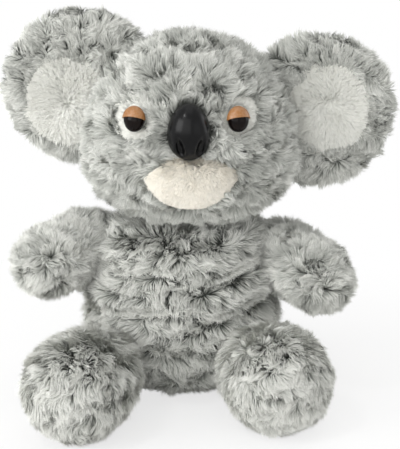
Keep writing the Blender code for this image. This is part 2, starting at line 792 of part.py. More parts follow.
def ear_form(name, side, inset):
    """The stuffed disc of an ear, cut by the head, moved in by the inset; a negative one grows it."""
    place = RIGHT_EAR_CENTRE if side == "right" else LEFT_EAR_CENTRE
    corner = Vector((EAR_HALF_SPAN, EAR_HALF_SPAN, EAR_HALF_DEPTH))
    form = swell(name, EAR_SIDES, EAR_SHARES, PLAIN_LEVELS, shrunk((-corner, corner), inset))
    form.rotation_euler = along(Vector((0.0, -1.0, 0.0)), Vector((0.0, 0.0, 1.0))).to_euler()
    form.location = place
    cut(form, head_form(name + "_head", -EAR_HEAD_CLEARANCE - inset))
    return form


def make_ear(side):
    """One ear: a flat stuffed disc with a round sewn root, open there, and a white patch in its front."""
    hinge_place, _, _ = ear_axes(side)
    frame = add_frame(side + "_ear_frame", hinge_place, ear_turn(side))
    skin = ear_form(side + "_ear_skin", side, 0.0)
    cavity = ear_form(side + "_ear_cavity", side, EAR_CLOTH)
    filling = ear_form(side + "_ear_filling", side, EAR_CLOTH + GAP)
    _, hinge, _ = ear_axes(side)
    root = rod(
        side + "_ear_root",
        EAR_ROOT_RADIUS * cos(pi / ROOT_SEGMENTS),
        2 * EAR_ROOT_HALF_SPAN,
        hinge_place,
        along(hinge, Vector((0.0, 1.0, 0.0))),
        segments=ROOT_SEGMENTS,
    )
    mouth = block(
        side + "_ear_mouth",
        Vector((-EAR_MOUTH_HALF_SPAN, -EAR_MOUTH_HALF_WIDTH, -EAR_ROOT_RADIUS - OVERRUN)),
        Vector((EAR_MOUTH_HALF_SPAN, EAR_MOUTH_HALF_WIDTH, EAR_ROOT_RADIUS + EAR_CLOTH)),
        frame,
    )
    combine(skin, root, "UNION")
    cut(skin, cavity, mouth)
    as_part(skin, side + "_ear_skin", "plush")
    as_part(filling, side + "_ear_filling", "filling")
    centre = RIGHT_EAR_PATCH_CENTRE if side == "right" else LEFT_EAR_PATCH_CENTRE
    patch = rod(
        side + "_ear_patch_form",
        EAR_PATCH_HALF_HEIGHT,
        OVERRUN,
        centre + Vector((0.0, hinge_place.y - GAP - OVERRUN / 2, 0.0)),
        along(Vector((0.0, -1.0, 0.0)), Vector((0.0, 0.0, 1.0))),
        segments=PATCH_SEGMENTS,
        width_share=EAR_PATCH_HALF_WIDTH / EAR_PATCH_HALF_HEIGHT,
    )
    root_clearance = rod(
        side + "_ear_patch_root",
        EAR_ROOT_RADIUS + GAP,
        2 * (EAR_ROOT_HALF_SPAN + GAP),
        hinge_place,
        along(hinge, Vector((0.0, 1.0, 0.0))),
    )
    cheek = head_form(side + "_ear_patch_cheek", -EAR_PATCH_HEAD_CLEARANCE)
    combine(patch, ear_form(side + "_ear_cover", side, -GAP - PATCH_THICKNESS), "INTERSECT")
    cut(patch, ear_form(side + "_ear_seat", side, -GAP), root_clearance, cheek)
    as_part(patch, side + "_ear_patch", "white_pile")
    carry(frame, (side + "_ear_skin", side + "_ear_filling", side + "_ear_patch"))
    carry(bpy.data.objects["head_frame"], (side + "_ear_frame",))


def make_limb(name, root, end, root_radius, half_width, tip, shares, on_floor):
    """One stuffed limb, open inside its round root, with its filling, on an empty at its seam.

    A limb that rests on the floor is cut flat there.
    """
    direction = end - root
    frame = add_frame(name + "_frame", root, along(direction, Vector((0.0, 0.0, 1.0))))
    sizes = (root_radius, half_width, direction.length, tip, shares)
    skin = limb_form(name + "_skin", *sizes, 0.0, frame)
    cavity = limb_form(name + "_cavity", *sizes, PILE_CLOTH, frame)
    mouth = rod(
        name + "_mouth",
        LIMB_MOUTH_RADIUS,
        2 * root_radius,
        Vector((0.0, 0.0, -root_radius)),
        Matrix.Identity(3),
        frame,
    )
    cut(skin, cavity, mouth)
    filling = limb_form(name + "_filling", *sizes, PILE_CLOTH + GAP, frame)
    if on_floor:
        wide = 2 * (half_width + direction.length)
        floor = block(
            name + "_floor",
            Vector((root.x - wide, root.y - wide, -OVERRUN)),
            Vector((root.x + wide, root.y + wide, 0.0)),
        )
        cut(skin, floor)
    as_part(skin, name + "_skin", "plush")
    as_part(filling, name + "_filling", "filling")


make_torso()
make_neck()
make_head()
for ear_side in ("right", "left"):
    make_ear(ear_side)
arm_sizes = (ARM_ROOT_RADIUS, ARM_HALF_WIDTH, PAW_TIP, ARM_SHARES, False)
make_limb("right_arm", RIGHT_SHOULDER, RIGHT_PAW, *arm_sizes)
make_limb("left_arm", LEFT_SHOULDER, LEFT_PAW, *arm_sizes)
leg_sizes = (LEG_ROOT_RADIUS, FOOT_HALF_WIDTH, SOLE_TIP, LEG_SHARES, True)
make_limb("right_leg", RIGHT_HIP, RIGHT_FOOT, *leg_sizes)
make_limb("left_leg", LEFT_HIP, LEFT_FOOT, *leg_sizes)
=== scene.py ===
"""Seated plush koala: long grey pile on stuffed cloth forms, white pile patches, moulded eyes and nose.

Metres, +Z up. The toy faces -Y, its left side is +X and its right side is -X.
Each stuffed form is a numpy surface that is remeshed and swollen by cloth pressure. The pile is real strands,
rooted on those forms and gathered into locks.
"""

import json
from math import cos, pi, radians, sin

import bmesh
import bpy
import numpy as np
from bpy.props import FloatProperty, FloatVectorProperty, PointerProperty
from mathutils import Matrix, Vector

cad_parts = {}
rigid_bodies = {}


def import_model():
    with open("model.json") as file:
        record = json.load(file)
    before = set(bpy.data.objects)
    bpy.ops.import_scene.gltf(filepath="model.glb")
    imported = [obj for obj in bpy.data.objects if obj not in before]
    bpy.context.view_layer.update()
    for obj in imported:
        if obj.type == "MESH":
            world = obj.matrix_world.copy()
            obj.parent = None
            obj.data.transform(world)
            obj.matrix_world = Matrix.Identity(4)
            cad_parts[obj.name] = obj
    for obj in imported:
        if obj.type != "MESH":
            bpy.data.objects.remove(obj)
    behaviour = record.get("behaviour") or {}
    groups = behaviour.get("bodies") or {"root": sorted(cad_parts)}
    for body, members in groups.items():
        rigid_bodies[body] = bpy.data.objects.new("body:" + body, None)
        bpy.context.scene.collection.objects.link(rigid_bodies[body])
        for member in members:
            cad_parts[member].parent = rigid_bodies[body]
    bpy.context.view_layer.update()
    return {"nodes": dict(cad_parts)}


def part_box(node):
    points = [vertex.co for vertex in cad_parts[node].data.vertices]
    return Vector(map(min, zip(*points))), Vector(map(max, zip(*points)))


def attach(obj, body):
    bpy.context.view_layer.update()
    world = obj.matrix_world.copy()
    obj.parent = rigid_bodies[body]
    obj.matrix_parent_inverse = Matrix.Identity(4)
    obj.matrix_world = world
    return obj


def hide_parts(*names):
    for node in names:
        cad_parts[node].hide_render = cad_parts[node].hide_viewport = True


bl_info = {
    "name": "Plush Koala",
    "version": (1, 0, 0),
    "blender": (4, 5, 0),
    "location": "View3D > Sidebar > Koala",
    "description": "Builds a seated plush koala around its packed model",
    "category": "Add Mesh",
}

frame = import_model()

# Stuffed forms, in metres, as the solids have them
TORSO_BOX = ((-0.0600, -0.0480, -0.0005), (0.0600, 0.0480, 0.1240))
HEAD_BOX = ((-0.0595, -0.0620, 0.1138), (0.0715, 0.0500, 0.2290))
HEAD_MIDDLE = (0.0060, -0.0060)
ARM_ROOT, ARM_HALF, ARM_TIP = 0.0230, 0.0225, 0.0215
LEG_ROOT, LEG_HALF, LEG_TIP = 0.0240, 0.0320, 0.0270
LIMBS = {
    "right_arm": ((-0.0600, -0.0020, 0.0960), (-0.0820, -0.0240, 0.0895)),
    "left_arm": ((0.0620, -0.0020, 0.0900), (0.0865, -0.0240, 0.0785)),
    "right_leg": ((-0.0465, -0.0430, 0.0290), (-0.0620, -0.0920, 0.0315)),
    "left_leg": ((0.0465, -0.0420, 0.0290), (0.0600, -0.0770, 0.0315)),
}
EAR_HALF_SPAN, EAR_HALF_DEPTH, EAR_Y = 0.0500, 0.0090, 0.0060
EAR_CENTRES = {"right": (-0.0610, 0.1940), "left": (0.0840, 0.1790)}
EAR_PATCHES = {"right": (-0.0700, 0.1860), "left": (0.0915, 0.1810)}
EAR_PATCH_HALF = (0.0240, 0.0262)
EYE_PATCHES = {"right": (-0.0266, 0.1828), "left": (0.0344, 0.1856)}
EYE_PATCH_HALF = (0.0102, 0.0113)
# How far the middle of a patch rises over its cloth, and how far its back sinks in
EAR_PATCH_RISE, EYE_PATCH_RISE, PATCH_SINK = 0.0008, 0.0024, 0.0010
# An ear grows pile from this far out, in shares of the head's half width and depth
EAR_ROOT_REACH = 1.03
# Where the face's pile ends and the nape's starts, with the crown's between them
FACE_BACK, NAPE_FRONT = -0.022, 0.014
MUZZLE_CENTRE, MUZZLE_HALF = (0.0070, -0.0530, 0.1490), (0.0275, 0.0150, 0.0160)
NOSE_CENTRE, NOSE_HALF, NOSE_DEPTH = (0.0056, 0.1800), (0.0130, 0.0175), 0.0125

# Rows of shares up each form: height, half width, half depth, forward lean
TORSO_SHARES = (
    (0.02, 0.62, 0.62, 0.00),
    (0.20, 1.00, 1.00, 0.04),
    (0.44, 1.00, 1.00, 0.06),
    (0.68, 0.95, 0.92, 0.02),
    (0.90, 0.90, 0.76, 0.00),
)
HEAD_SHARES = (
    (0.06, 0.76, 0.62, 0.00),
    (0.25, 1.06, 1.00, 0.02),
    (0.52, 1.02, 1.02, 0.02),
    (0.78, 0.84, 0.86, 0.00),
    (0.95, 0.44, 0.46, 0.00),
)
DISC_SHARES = (
    (0.10, 0.78, 0.78, 0.00),
    (0.50, 1.00, 1.00, 0.00),
    (0.90, 0.78, 0.78, 0.00),
)
ARM_SHARES = (
    (0.06, 0.54, 0.54, 0.00),
    (0.24, 0.86, 0.86, 0.00),
    (0.50, 0.95, 0.95, 0.00),
    (0.76, 1.02, 1.02, 0.00),
    (0.95, 0.62, 0.62, 0.00),
)
LEG_SHARES = (
    (0.07, 0.44, 0.44, 0.00),
    (0.28, 0.70, 0.70, 0.00),
    (0.66, 1.00, 1.00, 0.00),
    (0.94, 0.76, 0.76, 0.00),
)

# The backing cloth lies this far under the solids' surface, because the pile stands on it
CLOTH_INSET = 0.0068
EAR_INSET = 0.0052
FLOOR_CLEARANCE = 0.0004
SEAT_HEIGHT = 0.0040
VOXELS = {"torso": 0.0035, "head": 0.0050, "arm": 0.0040, "leg": 0.0045, "ear": 0.0030}
STUFFING_PRESSURE = 4.0
CLOTH_GIVE = 0.035
STUFFING_FRAMES = 20
NECK_HEIGHT = 0.1130
# Room round a limb's root in its nest, and how far inside that root's edge the torso's pile ends
NEST_CLEARANCE, NEST_COVER = 0.0005, 0.0085
# Half width, half depth and height of the torso's inside, where the limbs grow no pile
TORSO_CORE = (0.053, 0.041, 0.110)

# Level creases of the torso, and the waves across its front that bend them: height, pitch and start of each
TORSO_CREASE, ROLL_SPACING, ROLL_DEPTH = 0.0826, 0.0235, 0.0044
CREASE_WAVES = ((0.0024, 95.0, 0.0), (0.0018, 41.0, 2.0))
# How hard the pile parts over a crease, and over what share of the spacing
PARTING, PARTING_WIDTH = 2.4, 0.22

# The muzzle's pad stands this much higher than its solid, and is this much smaller on each side
MUZZLE_PAD_RISE, MUZZLE_PAD_INSET = (0, 0, 0.0009), (0.0028, 0.0028, 0.0019)
# Its white half moon: slope, then the height over the middle and the bend of its brow and of its chin
MOON_SLOPE, MOON_BROW, MOON_CHIN = 0.05, (0.0164, -20.5), (-0.0135, 23.0)

# Moulded eyes
EYE_HALF_WIDTH, EYE_HALF_HEIGHT, EYE_DOME = 0.0063, 0.0073, 0.0052
EYE_YAW, EYE_PITCH = radians(21.0), radians(7.0)
# Past the dome: shares of the half width and height at the rim, the back and the shank, and how far they rise
EYE_BACK_SHARES = (1.0, 0.94, 0.30, 0.30, 0.0)
EYE_BACK_RISES = (-0.0010, -0.0014, -0.0014, -0.0110, -0.0110)
LID_EDGE, LID_WALL, LID_CLEARANCE = radians(15.0), 0.0009, 0.0002

# Moulded nose: its share of its box, how much it narrows upwards, and how far it sits below the middle
NOSE_FILL, NOSE_TAPER, NOSE_DROP = 0.478, 0.10, 0.0004
# Nostrils: how far out they lie and lean, their middle line, foot and widest height, and their sizes
NOSTRIL_OUT, NOSTRIL_LEAN, NOSTRIL_MIDDLE = 0.0056, 0.20, 0.0008
NOSTRIL_FOOT, NOSTRIL_HEIGHT = 0.010, -0.0098
NOSTRIL_HALF_WIDTH, NOSTRIL_UP, NOSTRIL_DOWN, NOSTRIL_DEPTH = 0.0022, 0.0066, 0.0036, 0.0032


def linear(code):
    """An sRGB hex colour as linear RGBA: c / 12.92 up to 0.04045, else ((c + 0.055) / 1.055) ** 2.4."""
    channels = np.array([int(code[place : place + 2], 16) for place in (1, 3, 5)]) / 255.0
    bent = np.where(channels <= 0.04045, channels / 12.92, ((channels + 0.055) / 1.055) ** 2.4)
    return (*bent.tolist(), 1.0)


def unit(vectors):
    """Each vector divided by its own length."""
    return vectors / np.maximum(np.linalg.norm(vectors, axis=-1, keepdims=True), 1e-12)


def once_round(columns):
    """A row of even angles once round a form."""
    return np.linspace(0, 2 * pi, columns, endpoint=False)[None, :]


def is_arm(limb):
    """Whether a limb is an arm and not a leg."""
    return limb.endswith("arm")


def root_radius(limb):
    """The radius of a limb's round root."""
    return ARM_ROOT if is_arm(limb) else LEG_ROOT


# --- sizes and colours that a user may change


def length_property(name, description, default):
    """A length in metres that the sidebar shows."""
    return FloatProperty(
        name=name, description=description, default=default, min=0.0, unit="LENGTH", precision=5
    )


def colour_property(name, description, code):
    """A colour that the sidebar shows, whose default is an sRGB hex value."""
    return FloatVectorProperty(
        name=name, description=description, default=linear(code), size=4, min=0.0, max=1.0, subtype="COLOR"
    )


class KoalaSizes(bpy.types.PropertyGroup):
    """Sizes of the pile and of the stuffing."""

    long_pile: length_property("Long pile", "Length of the grey strands", 0.0112)
    ear_pile: length_property("Ear pile", "Length of the grey strands on the ears", 0.0086)
    white_pile: length_property("White pile", "Length of the short white strands", 0.0045)
    strand_width: length_property("Strand width", "Width of a strand at its root", 0.00040)
    lock_size: length_property("Lock size", "Width of a lock of grey pile", 0.0070)
    swell_cap: length_property("Swelling", "How far the stuffing may push the cloth out", 0.0014)


class KoalaColours(bpy.types.PropertyGroup):
    """Colours of the pile and of the moulded parts."""

    # The dark roots are the dye's frosting, and they also paint the shade deep in the pile
    grey_root: colour_property("Grey root", "Grey pile at its roots", "#595c57")
    grey_middle: colour_property("Grey middle", "Grey pile half way up", "#bfc1ba")
    grey_tip: colour_property("Grey tip", "Frosted tips of the grey pile", "#fdfdf8")
    white_root: colour_property("White root", "White pile at its roots", "#d9dad4")
    white_tip: colour_property("White tip", "White pile at its tips", "#f8f8f2")
    cream_tip: colour_property("Cream tip", "White pile on the muzzle at its tips", "#fef9ee")
    nose: colour_property("Nose", "Moulded nose", "#060607")
    eye: colour_property("Eye", "Moulded eyes", "#0d0909")
    lid: colour_property("Eyelid", "Moulded eyelids", "#98652f")


# --- surfaces


def spread(controls, places):
    """Uniform cubic B-spline: four neighbouring control rows blended by the cubic basis, at each place."""
    spans = len(controls) - 3
    span = np.minimum(places.astype(int), spans - 1)
    t = (places - span)[:, None]
    basis = (
        (1 - t) ** 3 / 6,
        (3 * t**3 - 6 * t**2 + 4) / 6,
        (-3 * t**3 + 3 * t**2 + 3 * t + 1) / 6,
        t**3 / 6,
    )
    return sum(weight * controls[span + step] for step, weight in enumerate(basis))


def stuffed_rings(shares, box, rows=40, columns=64):
    """Rings of a stuffed form that fills its box.

    The profile is a cubic B-spline through the rows of shares, carried past each pole to the far
    side. A point is (width cos u, depth sin u - lean, height), and the whole is stretched to the
    box. The first and last rings are the poles.
    """
    rows_of_shares = np.array(shares)
    flip = np.array([1.0, -1.0, -1.0, 1.0])
    controls = np.vstack(
        (rows_of_shares[0] * flip, (0, 0, 0, 0), rows_of_shares, (1, 0, 0, 0), rows_of_shares[-1] * flip)
    )
    height, width, depth, lean = spread(controls, np.linspace(0, len(shares) + 1, rows)).T[:, :, None]
    around = once_round(columns)
    points = np.stack((width * np.cos(around), depth * np.sin(around) - lean, height + 0 * around), axis=-1)
    low, high = points.min(axis=(0, 1)), points.max(axis=(0, 1))
    wanted_low, wanted_high = np.array(box)
    return wanted_low + (points - low) / (high - low) * (wanted_high - wanted_low)


def shrunk(box, inset):
    """A box moved in by the same distance on all its sides."""
    low, high = np.array(box)
    return low + inset, high - inset


def placed(points, origin, towards):
    """Points moved so that local Z runs from the origin towards the second place, with local Y near up."""
    z_axis = unit(np.subtract(towards, origin))
    x_axis = unit(np.cross((0.0, 0.0, 1.0), z_axis))
    y_axis = np.cross(z_axis, x_axis)
    return points @ np.array((x_axis, y_axis, z_axis)) + np.array(origin)


def ball_faces(rows, columns):
    """Faces of a ball of rings between two pole points: quads, and triangles at the poles."""
    ring = 1 + np.arange(columns)
    following = 1 + (np.arange(columns) + 1) % columns
    rise = (np.arange(rows - 1) * columns)[:, None]
    quads = np.stack(
        (rise + ring, rise + following, rise + following + columns, rise + ring + columns), axis=-1
    ).reshape(-1, 4)
    top = rows * columns + 1
    last = top - 1 - columns
    south = np.stack((np.zeros(columns, int), following, ring), axis=-1)
    north = np.stack((np.full(columns, top), ring + last, following + last), axis=-1)
    return quads.tolist() + south.tolist() + north.tolist()


def ball_mesh(name, rings):
    """A closed mesh from rings of points, whose first and last rings are each one point, the poles."""
    inner = rings[1:-1]
    rows, columns, _ = inner.shape
    points = np.vstack((rings[0, :1], inner.reshape(-1, 3), rings[-1, :1]))
    mesh = bpy.data.meshes.new(name)
    mesh.from_pydata(points.tolist(), [], ball_faces(rows, columns))
    mesh.shade_smooth()
    return mesh


def pressed_round(points, centre, radius):
    """Points inside a ball are moved straight out to its surface, which dents a form for its neighbour."""
    away = points - np.array(centre)
    distance = np.linalg.norm(away, axis=-1, keepdims=True)
    return np.where(distance < radius, np.array(centre) + away * radius / np.maximum(distance, 1e-9), points)


def head_reach(points, inset):
    """How far out from its axis each point is, in shares of the head's half width and depth there."""
    rings = stuffed_rings(HEAD_SHARES, shrunk(HEAD_BOX, inset), 80)
    low, high = rings.min(axis=1), rings.max(axis=1)
    middle, half = (low + high) / 2, np.maximum((high - low) / 2, 1e-5)
    order = np.argsort(middle[:, 2])
    heights = middle[order, 2]
    across = [
        (points[..., axis] - np.interp(points[..., 2], heights, middle[order, axis]))
        / np.interp(points[..., 2], heights, half[order, axis], left=1e-5, right=1e-5)
        for axis in (0, 1)
    ]
    return np.hypot(*across)


def clear_of_head(points, inset):
    """Points inside the head are moved level with themselves, out from its axis, to its surface."""
    reach = head_reach(points, inset)[..., None]
    axis_point = points.copy()
    axis_point[..., :2] = HEAD_MIDDLE
    return np.where(reach < 1.0, axis_point + (points - axis_point) / np.maximum(reach, 0.05), points)


# --- materials


def add_node(tree, kind, settings=None, links=None):
    """One node with its settings, where a socket in links takes the output that feeds it.

    Settings are the node's own properties or its sockets' constants. Under stops stand a ramp's
    places and colours.
    """
    node = tree.nodes.new(kind)
    for key, value in (settings or {}).items():
        if key == "stops":
            elements = node.color_ramp.elements
            while len(elements) < len(value):
                elements.new(0.5)
            for element, (place, colour) in zip(elements, value):
                element.position, element.color = place, colour
        elif hasattr(node, key):
            setattr(node, key, value)
        else:
            node.inputs[key].default_value = value
    for socket, source in (links or {}).items():
        tree.links.new(source, node.inputs[socket])
    return node


def new_material(name, settings):
    """A material with one Principled shader whose constant sockets are set here."""
    material = bpy.data.materials.new(name)
    material.use_nodes = True
    tree = material.node_tree
    tree.nodes.clear()
    shader = add_node(tree, "ShaderNodeBsdfPrincipled", settings)
    add_node(tree, "ShaderNodeOutputMaterial", links={"Surface": shader.outputs[0]})
    return material, tree, shader


def between(first, second, share):
    """A colour part of the way from one linear colour to another."""
    return tuple(a + (b - a) * share for a, b in zip(first, second))


def patterned(name, shading, kind, settings, stops, strength, distance):
    """A finish with one pattern in space, which colours it by a ramp and stands in it as a bump."""
    material, tree, shader = new_material(name, shading)
    place = add_node(tree, "ShaderNodeTexCoord")
    pattern = add_node(tree, kind, settings, {"Vector": place.outputs["Object"]}).outputs["Fac"]
    ramp = add_node(tree, "ShaderNodeValToRGB", {"stops": stops}, {"Fac": pattern})
    tree.links.new(ramp.outputs["Color"], shader.inputs["Base Color"])
    relief = {"Strength": strength, "Distance": distance}
    bump = add_node(tree, "ShaderNodeBump", relief, {"Height": pattern})
    tree.links.new(bump.outputs["Normal"], shader.inputs["Normal"])
    return material


def dyed_pile(name, root, middle, tip):
    """Acrylic pile with frosted tips: two ramps from root to tip, blended by each strand's shade, which holds
    its random tone and painted light and shade.

    The strand's map holds its shade across, and its height from root to tip upwards.
    """
    material, tree, shader = new_material(name, {"Roughness": 0.65, "Specular IOR Level": 0.2})
    places = add_node(tree, "ShaderNodeUVMap", {"uv_map": "OFBake"})
    split = add_node(tree, "ShaderNodeSeparateXYZ", links={"Vector": places.outputs["UV"]})
    deep = ((0.0, root), (0.45, between(root, middle, 0.55)), (1.0, between(middle, tip, 0.30)))
    pale = ((0.0, root), (0.40, middle), (1.0, tip))
    ramps = [
        add_node(tree, "ShaderNodeValToRGB", {"stops": stops}, {"Fac": split.outputs["Y"]}).outputs["Color"]
        for stops in (deep, pale)
    ]
    mix = add_node(
        tree, "ShaderNodeMix", {"data_type": "RGBA"}, {0: split.outputs["X"], 6: ramps[0], 7: ramps[1]}
    )
    tree.links.new(mix.outputs[2], shader.inputs["Base Color"])
    return material


def knitted_cloth(name, ground, yarn):
    """Warp-knitted polyester: rows of loops, drawn 1.6 mm apart so that they show deep in a parting."""
    matt = {"Roughness": 0.9, "Specular IOR Level": 0.2}
    loops = {"Scale": 1.0 / 0.0016 / (2 * pi), "Distortion": 2.0}
    return patterned(name, matt, "ShaderNodeTexWave", loops, ((0.0, ground), (1.0, yarn)), 0.4, 0.0004)


def moulded_plastic(name, base, mottle, settings, grain):
    """Injection-moulded plastic: a faint mottle and a fine grain in the skin, both of the given size."""
    noise = {"Scale": 1.0 / grain, "Detail": 3.0}
    return patterned(name, settings, "ShaderNodeTexNoise", noise, ((0.35, base), (0.7, mottle)), 0.12, 0.0001)


def make_finish(kind):
    """One of the toy's finishes, by the name of its record slot or of its backing."""
    colours = bpy.context.scene.koala_colours
    grey = (colours.grey_root[:], colours.grey_middle[:], colours.grey_tip[:])
    root, tip, cream = colours.white_root[:], colours.white_tip[:], colours.cream_tip[:]
    white = (root, between(root, tip, 0.75), tip)
    if kind == "grey_plush":
        # Frosted acrylic pile: dark roots, the dye's own frosting that also paints the shade in the partings,
        # and pale tips
        return dyed_pile("frosted_acrylic_pile", *grey)
    if kind == "white_pile":
        # Undyed acrylic pile, cut short: bright and nearly free of shade
        return dyed_pile("undyed_acrylic_pile", *white)
    if kind == "cream_pile":
        # The same short pile, which the dye bath left a little warmer on the muzzle's cloth
        return dyed_pile("cream_acrylic_pile", root, between(root, cream, 0.75), cream)
    if kind == "grey_backing":
        # The knit that carries the grey pile: matt and darker than the roots
        return knitted_cloth("grey_knitted_backing", between(grey[0], (0, 0, 0, 1), 0.4), grey[0])
    if kind == "white_backing":
        # The knit that carries the white pile
        return knitted_cloth("white_knitted_backing", white[0], white[1])
    if kind == "thread":
        # Twisted polyester sewing thread, a shade lighter than the backing
        return knitted_cloth("twisted_polyester_thread", grey[0], between(grey[0], grey[1], 0.5))
    if kind == "nose_plastic":
        # Black ABS from a polished mould: one soft streak of light
        return moulded_plastic(
            "glossy_black_abs", colours.nose[:], between(colours.nose[:], grey[0], 0.012),
            {"IOR": 1.53, "Roughness": 0.25, "Specular IOR Level": 0.16}, 0.0030,
        )
    if kind == "eye_plastic":
        # Brown-black acrylic under a polished face, which mirrors the lamps
        return moulded_plastic(
            "polished_brown_acrylic", colours.eye[:], between(colours.eye[:], colours.lid[:], 0.01),
            {"IOR": 1.49, "Roughness": 0.06, "Specular IOR Level": 0.11}, 0.0040,
        )
    if kind == "lid_plastic":
        # Tan ABS with a low gloss
        return moulded_plastic(
            "tan_moulded_abs", colours.lid[:], between(colours.lid[:], (1, 1, 1, 1), 0.06),
            {"IOR": 1.53, "Roughness": 0.34}, 0.0012,
        )
    # Milky polypropylene lock washers, behind the cloth
    milky = (linear("#d9d8d2"), linear("#e4e3de"))
    return moulded_plastic("milky_polypropylene", *milky, {"Roughness": 0.5}, 0.0020)


def finish_of(kind):
    """The finish of a kind, made when it is first asked for."""
    made = bpy.context.scene.get("koala_finishes", {})
    if kind not in made:
        material = make_finish(kind)
        bpy.context.scene["koala_finishes"] = {**dict(made), kind: material.name}
        return material
    return bpy.data.materials[made[kind]]


# --- pieces


def dress(mesh, material):
    """Give a mesh one material in place of those it has."""
    mesh.materials.clear()
    mesh.materials.append(material)


def add_piece(name, mesh, finish, body, nodes=()):
    """A finished piece at the origin, with its body and the nodes it stands for."""
    piece = bpy.data.objects.new(name, mesh)
    bpy.context.scene.collection.objects.link(piece)
    dress(mesh, finish_of(finish))
    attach(piece, body)
    if nodes:
        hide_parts(*nodes)
    return piece


def evaluated_mesh(piece):
    """The mesh that a piece's modifiers leave, as new data."""
    graph = bpy.context.evaluated_depsgraph_get()
    return bpy.data.meshes.new_from_object(piece.evaluated_get(graph))


def swap_mesh(piece, mesh):
    """Give a piece new mesh data in place of its old data and modifiers."""
    material = piece.data.materials[0]
    piece.modifiers.clear()
    piece.data = mesh
    dress(mesh, material)
    mesh.shade_smooth()


def mesh_array(mesh, attribute="co"):
    """A mesh's points, or the normals at its points, as an array."""
    values = np.empty(len(mesh.vertices) * 3)
    mesh.vertices.foreach_get(attribute, values)
    return values.reshape(-1, 3)


def stuff(pieces):
    """Remesh each form, swell all of them together under cloth pressure, and cap how far any point moves."""
    scene = bpy.context.scene
    cap = scene.koala_sizes.swell_cap
    for piece, voxel in pieces:
        remesh = piece.modifiers.new("even", "REMESH")
        remesh.mode = "VOXEL"
        remesh.voxel_size = voxel
        swap_mesh(piece, evaluated_mesh(piece))
        cloth = piece.modifiers.new("stuffing", "CLOTH")
        cloth.settings.use_pressure = True
        cloth.settings.uniform_pressure_force = STUFFING_PRESSURE
        cloth.settings.shrink_min = -CLOTH_GIVE
        cloth.settings.effector_weights.gravity = 0.0
        cloth.point_cache.frame_start = 1
        cloth.point_cache.frame_end = STUFFING_FRAMES
    for step in range(1, STUFFING_FRAMES + 1):
        scene.frame_set(step)
    for piece, _ in pieces:
        before = mesh_array(piece.data)
        move = mesh_array(piece.data, "normal") * cap
        swollen = piece.data
        swollen = evaluated_mesh(piece)
        move = mesh_array(swollen) - before
        far = np.linalg.norm(move, axis=1, keepdims=True)
        capped = before + move * np.minimum(1.0, cap / np.maximum(far, 1e-9))
        capped[:, 2] = np.maximum(capped[:, 2], FLOOR_CLEARANCE)
        swollen.vertices.foreach_set("co", capped.ravel())
        swap_mesh(piece, swollen)
    scene.frame_set(1)


def torso_rings():
    """The stuffed pear of the torso, dented where the heads of the limbs nest, flat at the seat and neck."""
    rings = rolled(stuffed_rings(TORSO_SHARES, shrunk(TORSO_BOX, CLOTH_INSET), 80, 96))
    rings[..., 2] = np.clip(rings[..., 2], SEAT_HEIGHT, NECK_HEIGHT - CLOTH_INSET)
    for limb, (root, _) in LIMBS.items():
        rings = pressed_round(rings, root, root_radius(limb) - CLOTH_INSET + NEST_CLEARANCE)
    return rings


def above_crease(points):
    """How far each place is up from the crease under it, as a share of the creases' spacing.

    Slow waves across the front bend the creases.
    """
    bend = sum(rise * np.sin(points[..., 0] * pitch + start) for rise, pitch, start in CREASE_WAVES)
    return ((points[..., 2] + bend - TORSO_CREASE) / ROLL_SPACING) % 1.0


def rolled(points):
    """Points of the torso moved out where a roll bulges, as |sin| of the place between creases."""
    bulge = np.abs(np.sin(pi * above_crease(points)))
    outward = points.copy()
    outward[..., 2] = 0
    return points + (bulge - 0.5)[..., None] * ROLL_DEPTH * unit(outward)


def limb_rings(limb):
    """A stuffed limb from its round root, past the centre of its paw or sole, to its tip."""
    root, end = LIMBS[limb]
    shares, half, tip = (
        (ARM_SHARES, ARM_HALF, ARM_TIP) if is_arm(limb) else (LEG_SHARES, LEG_HALF, LEG_TIP)
    )
    reach = np.linalg.norm(np.subtract(end, root))
    box = shrunk(((-half, -half, -root_radius(limb)), (half, half, reach + tip)), CLOTH_INSET)
    rings = placed(stuffed_rings(shares, box), root, end)
    rings[..., 2] = np.maximum(rings[..., 2], SEAT_HEIGHT)
    return rings


def ear_rings(side):
    """A stuffed disc facing forward, moved out of the head."""
    x_place, height = EAR_CENTRES[side]
    corner = np.array((EAR_HALF_SPAN, EAR_HALF_SPAN, EAR_HALF_DEPTH)) - EAR_INSET
    rings = stuffed_rings(DISC_SHARES, (-corner, corner), 60, 96)
    rings = placed(rings, (x_place, EAR_Y, height), (x_place, EAR_Y - 1.0, height))
    return clear_of_head(rings, CLOTH_INSET - 0.0020)


class KOALA_OT_stuffed_forms(bpy.types.Operator):
    """Sew and stuff the torso, head, ears, arms and legs"""

    bl_idname = "koala.stuffed_forms"
    bl_label = "Stuffed forms"

    def execute(self, context):
        forms = {"torso": (torso_rings(), "torso")}
        forms["head"] = (stuffed_rings(HEAD_SHARES, shrunk(HEAD_BOX, CLOTH_INSET)), "head")
        for limb in LIMBS:
            forms[limb] = (limb_rings(limb), limb.split("_")[1])
        for side in ("right", "left"):
            forms[side + "_ear"] = (ear_rings(side), "ear")
        pieces = []
        for name, (rings, kind) in forms.items():
            mesh = ball_mesh(name + "_cloth", rings)
            nodes = (name + "_skin", name + "_filling")
            piece = add_piece(name + "_cloth", mesh, "grey_backing", name, nodes)
            pieces.append((piece, VOXELS[kind]))
        stuff(pieces)
        return {"FINISHED"}


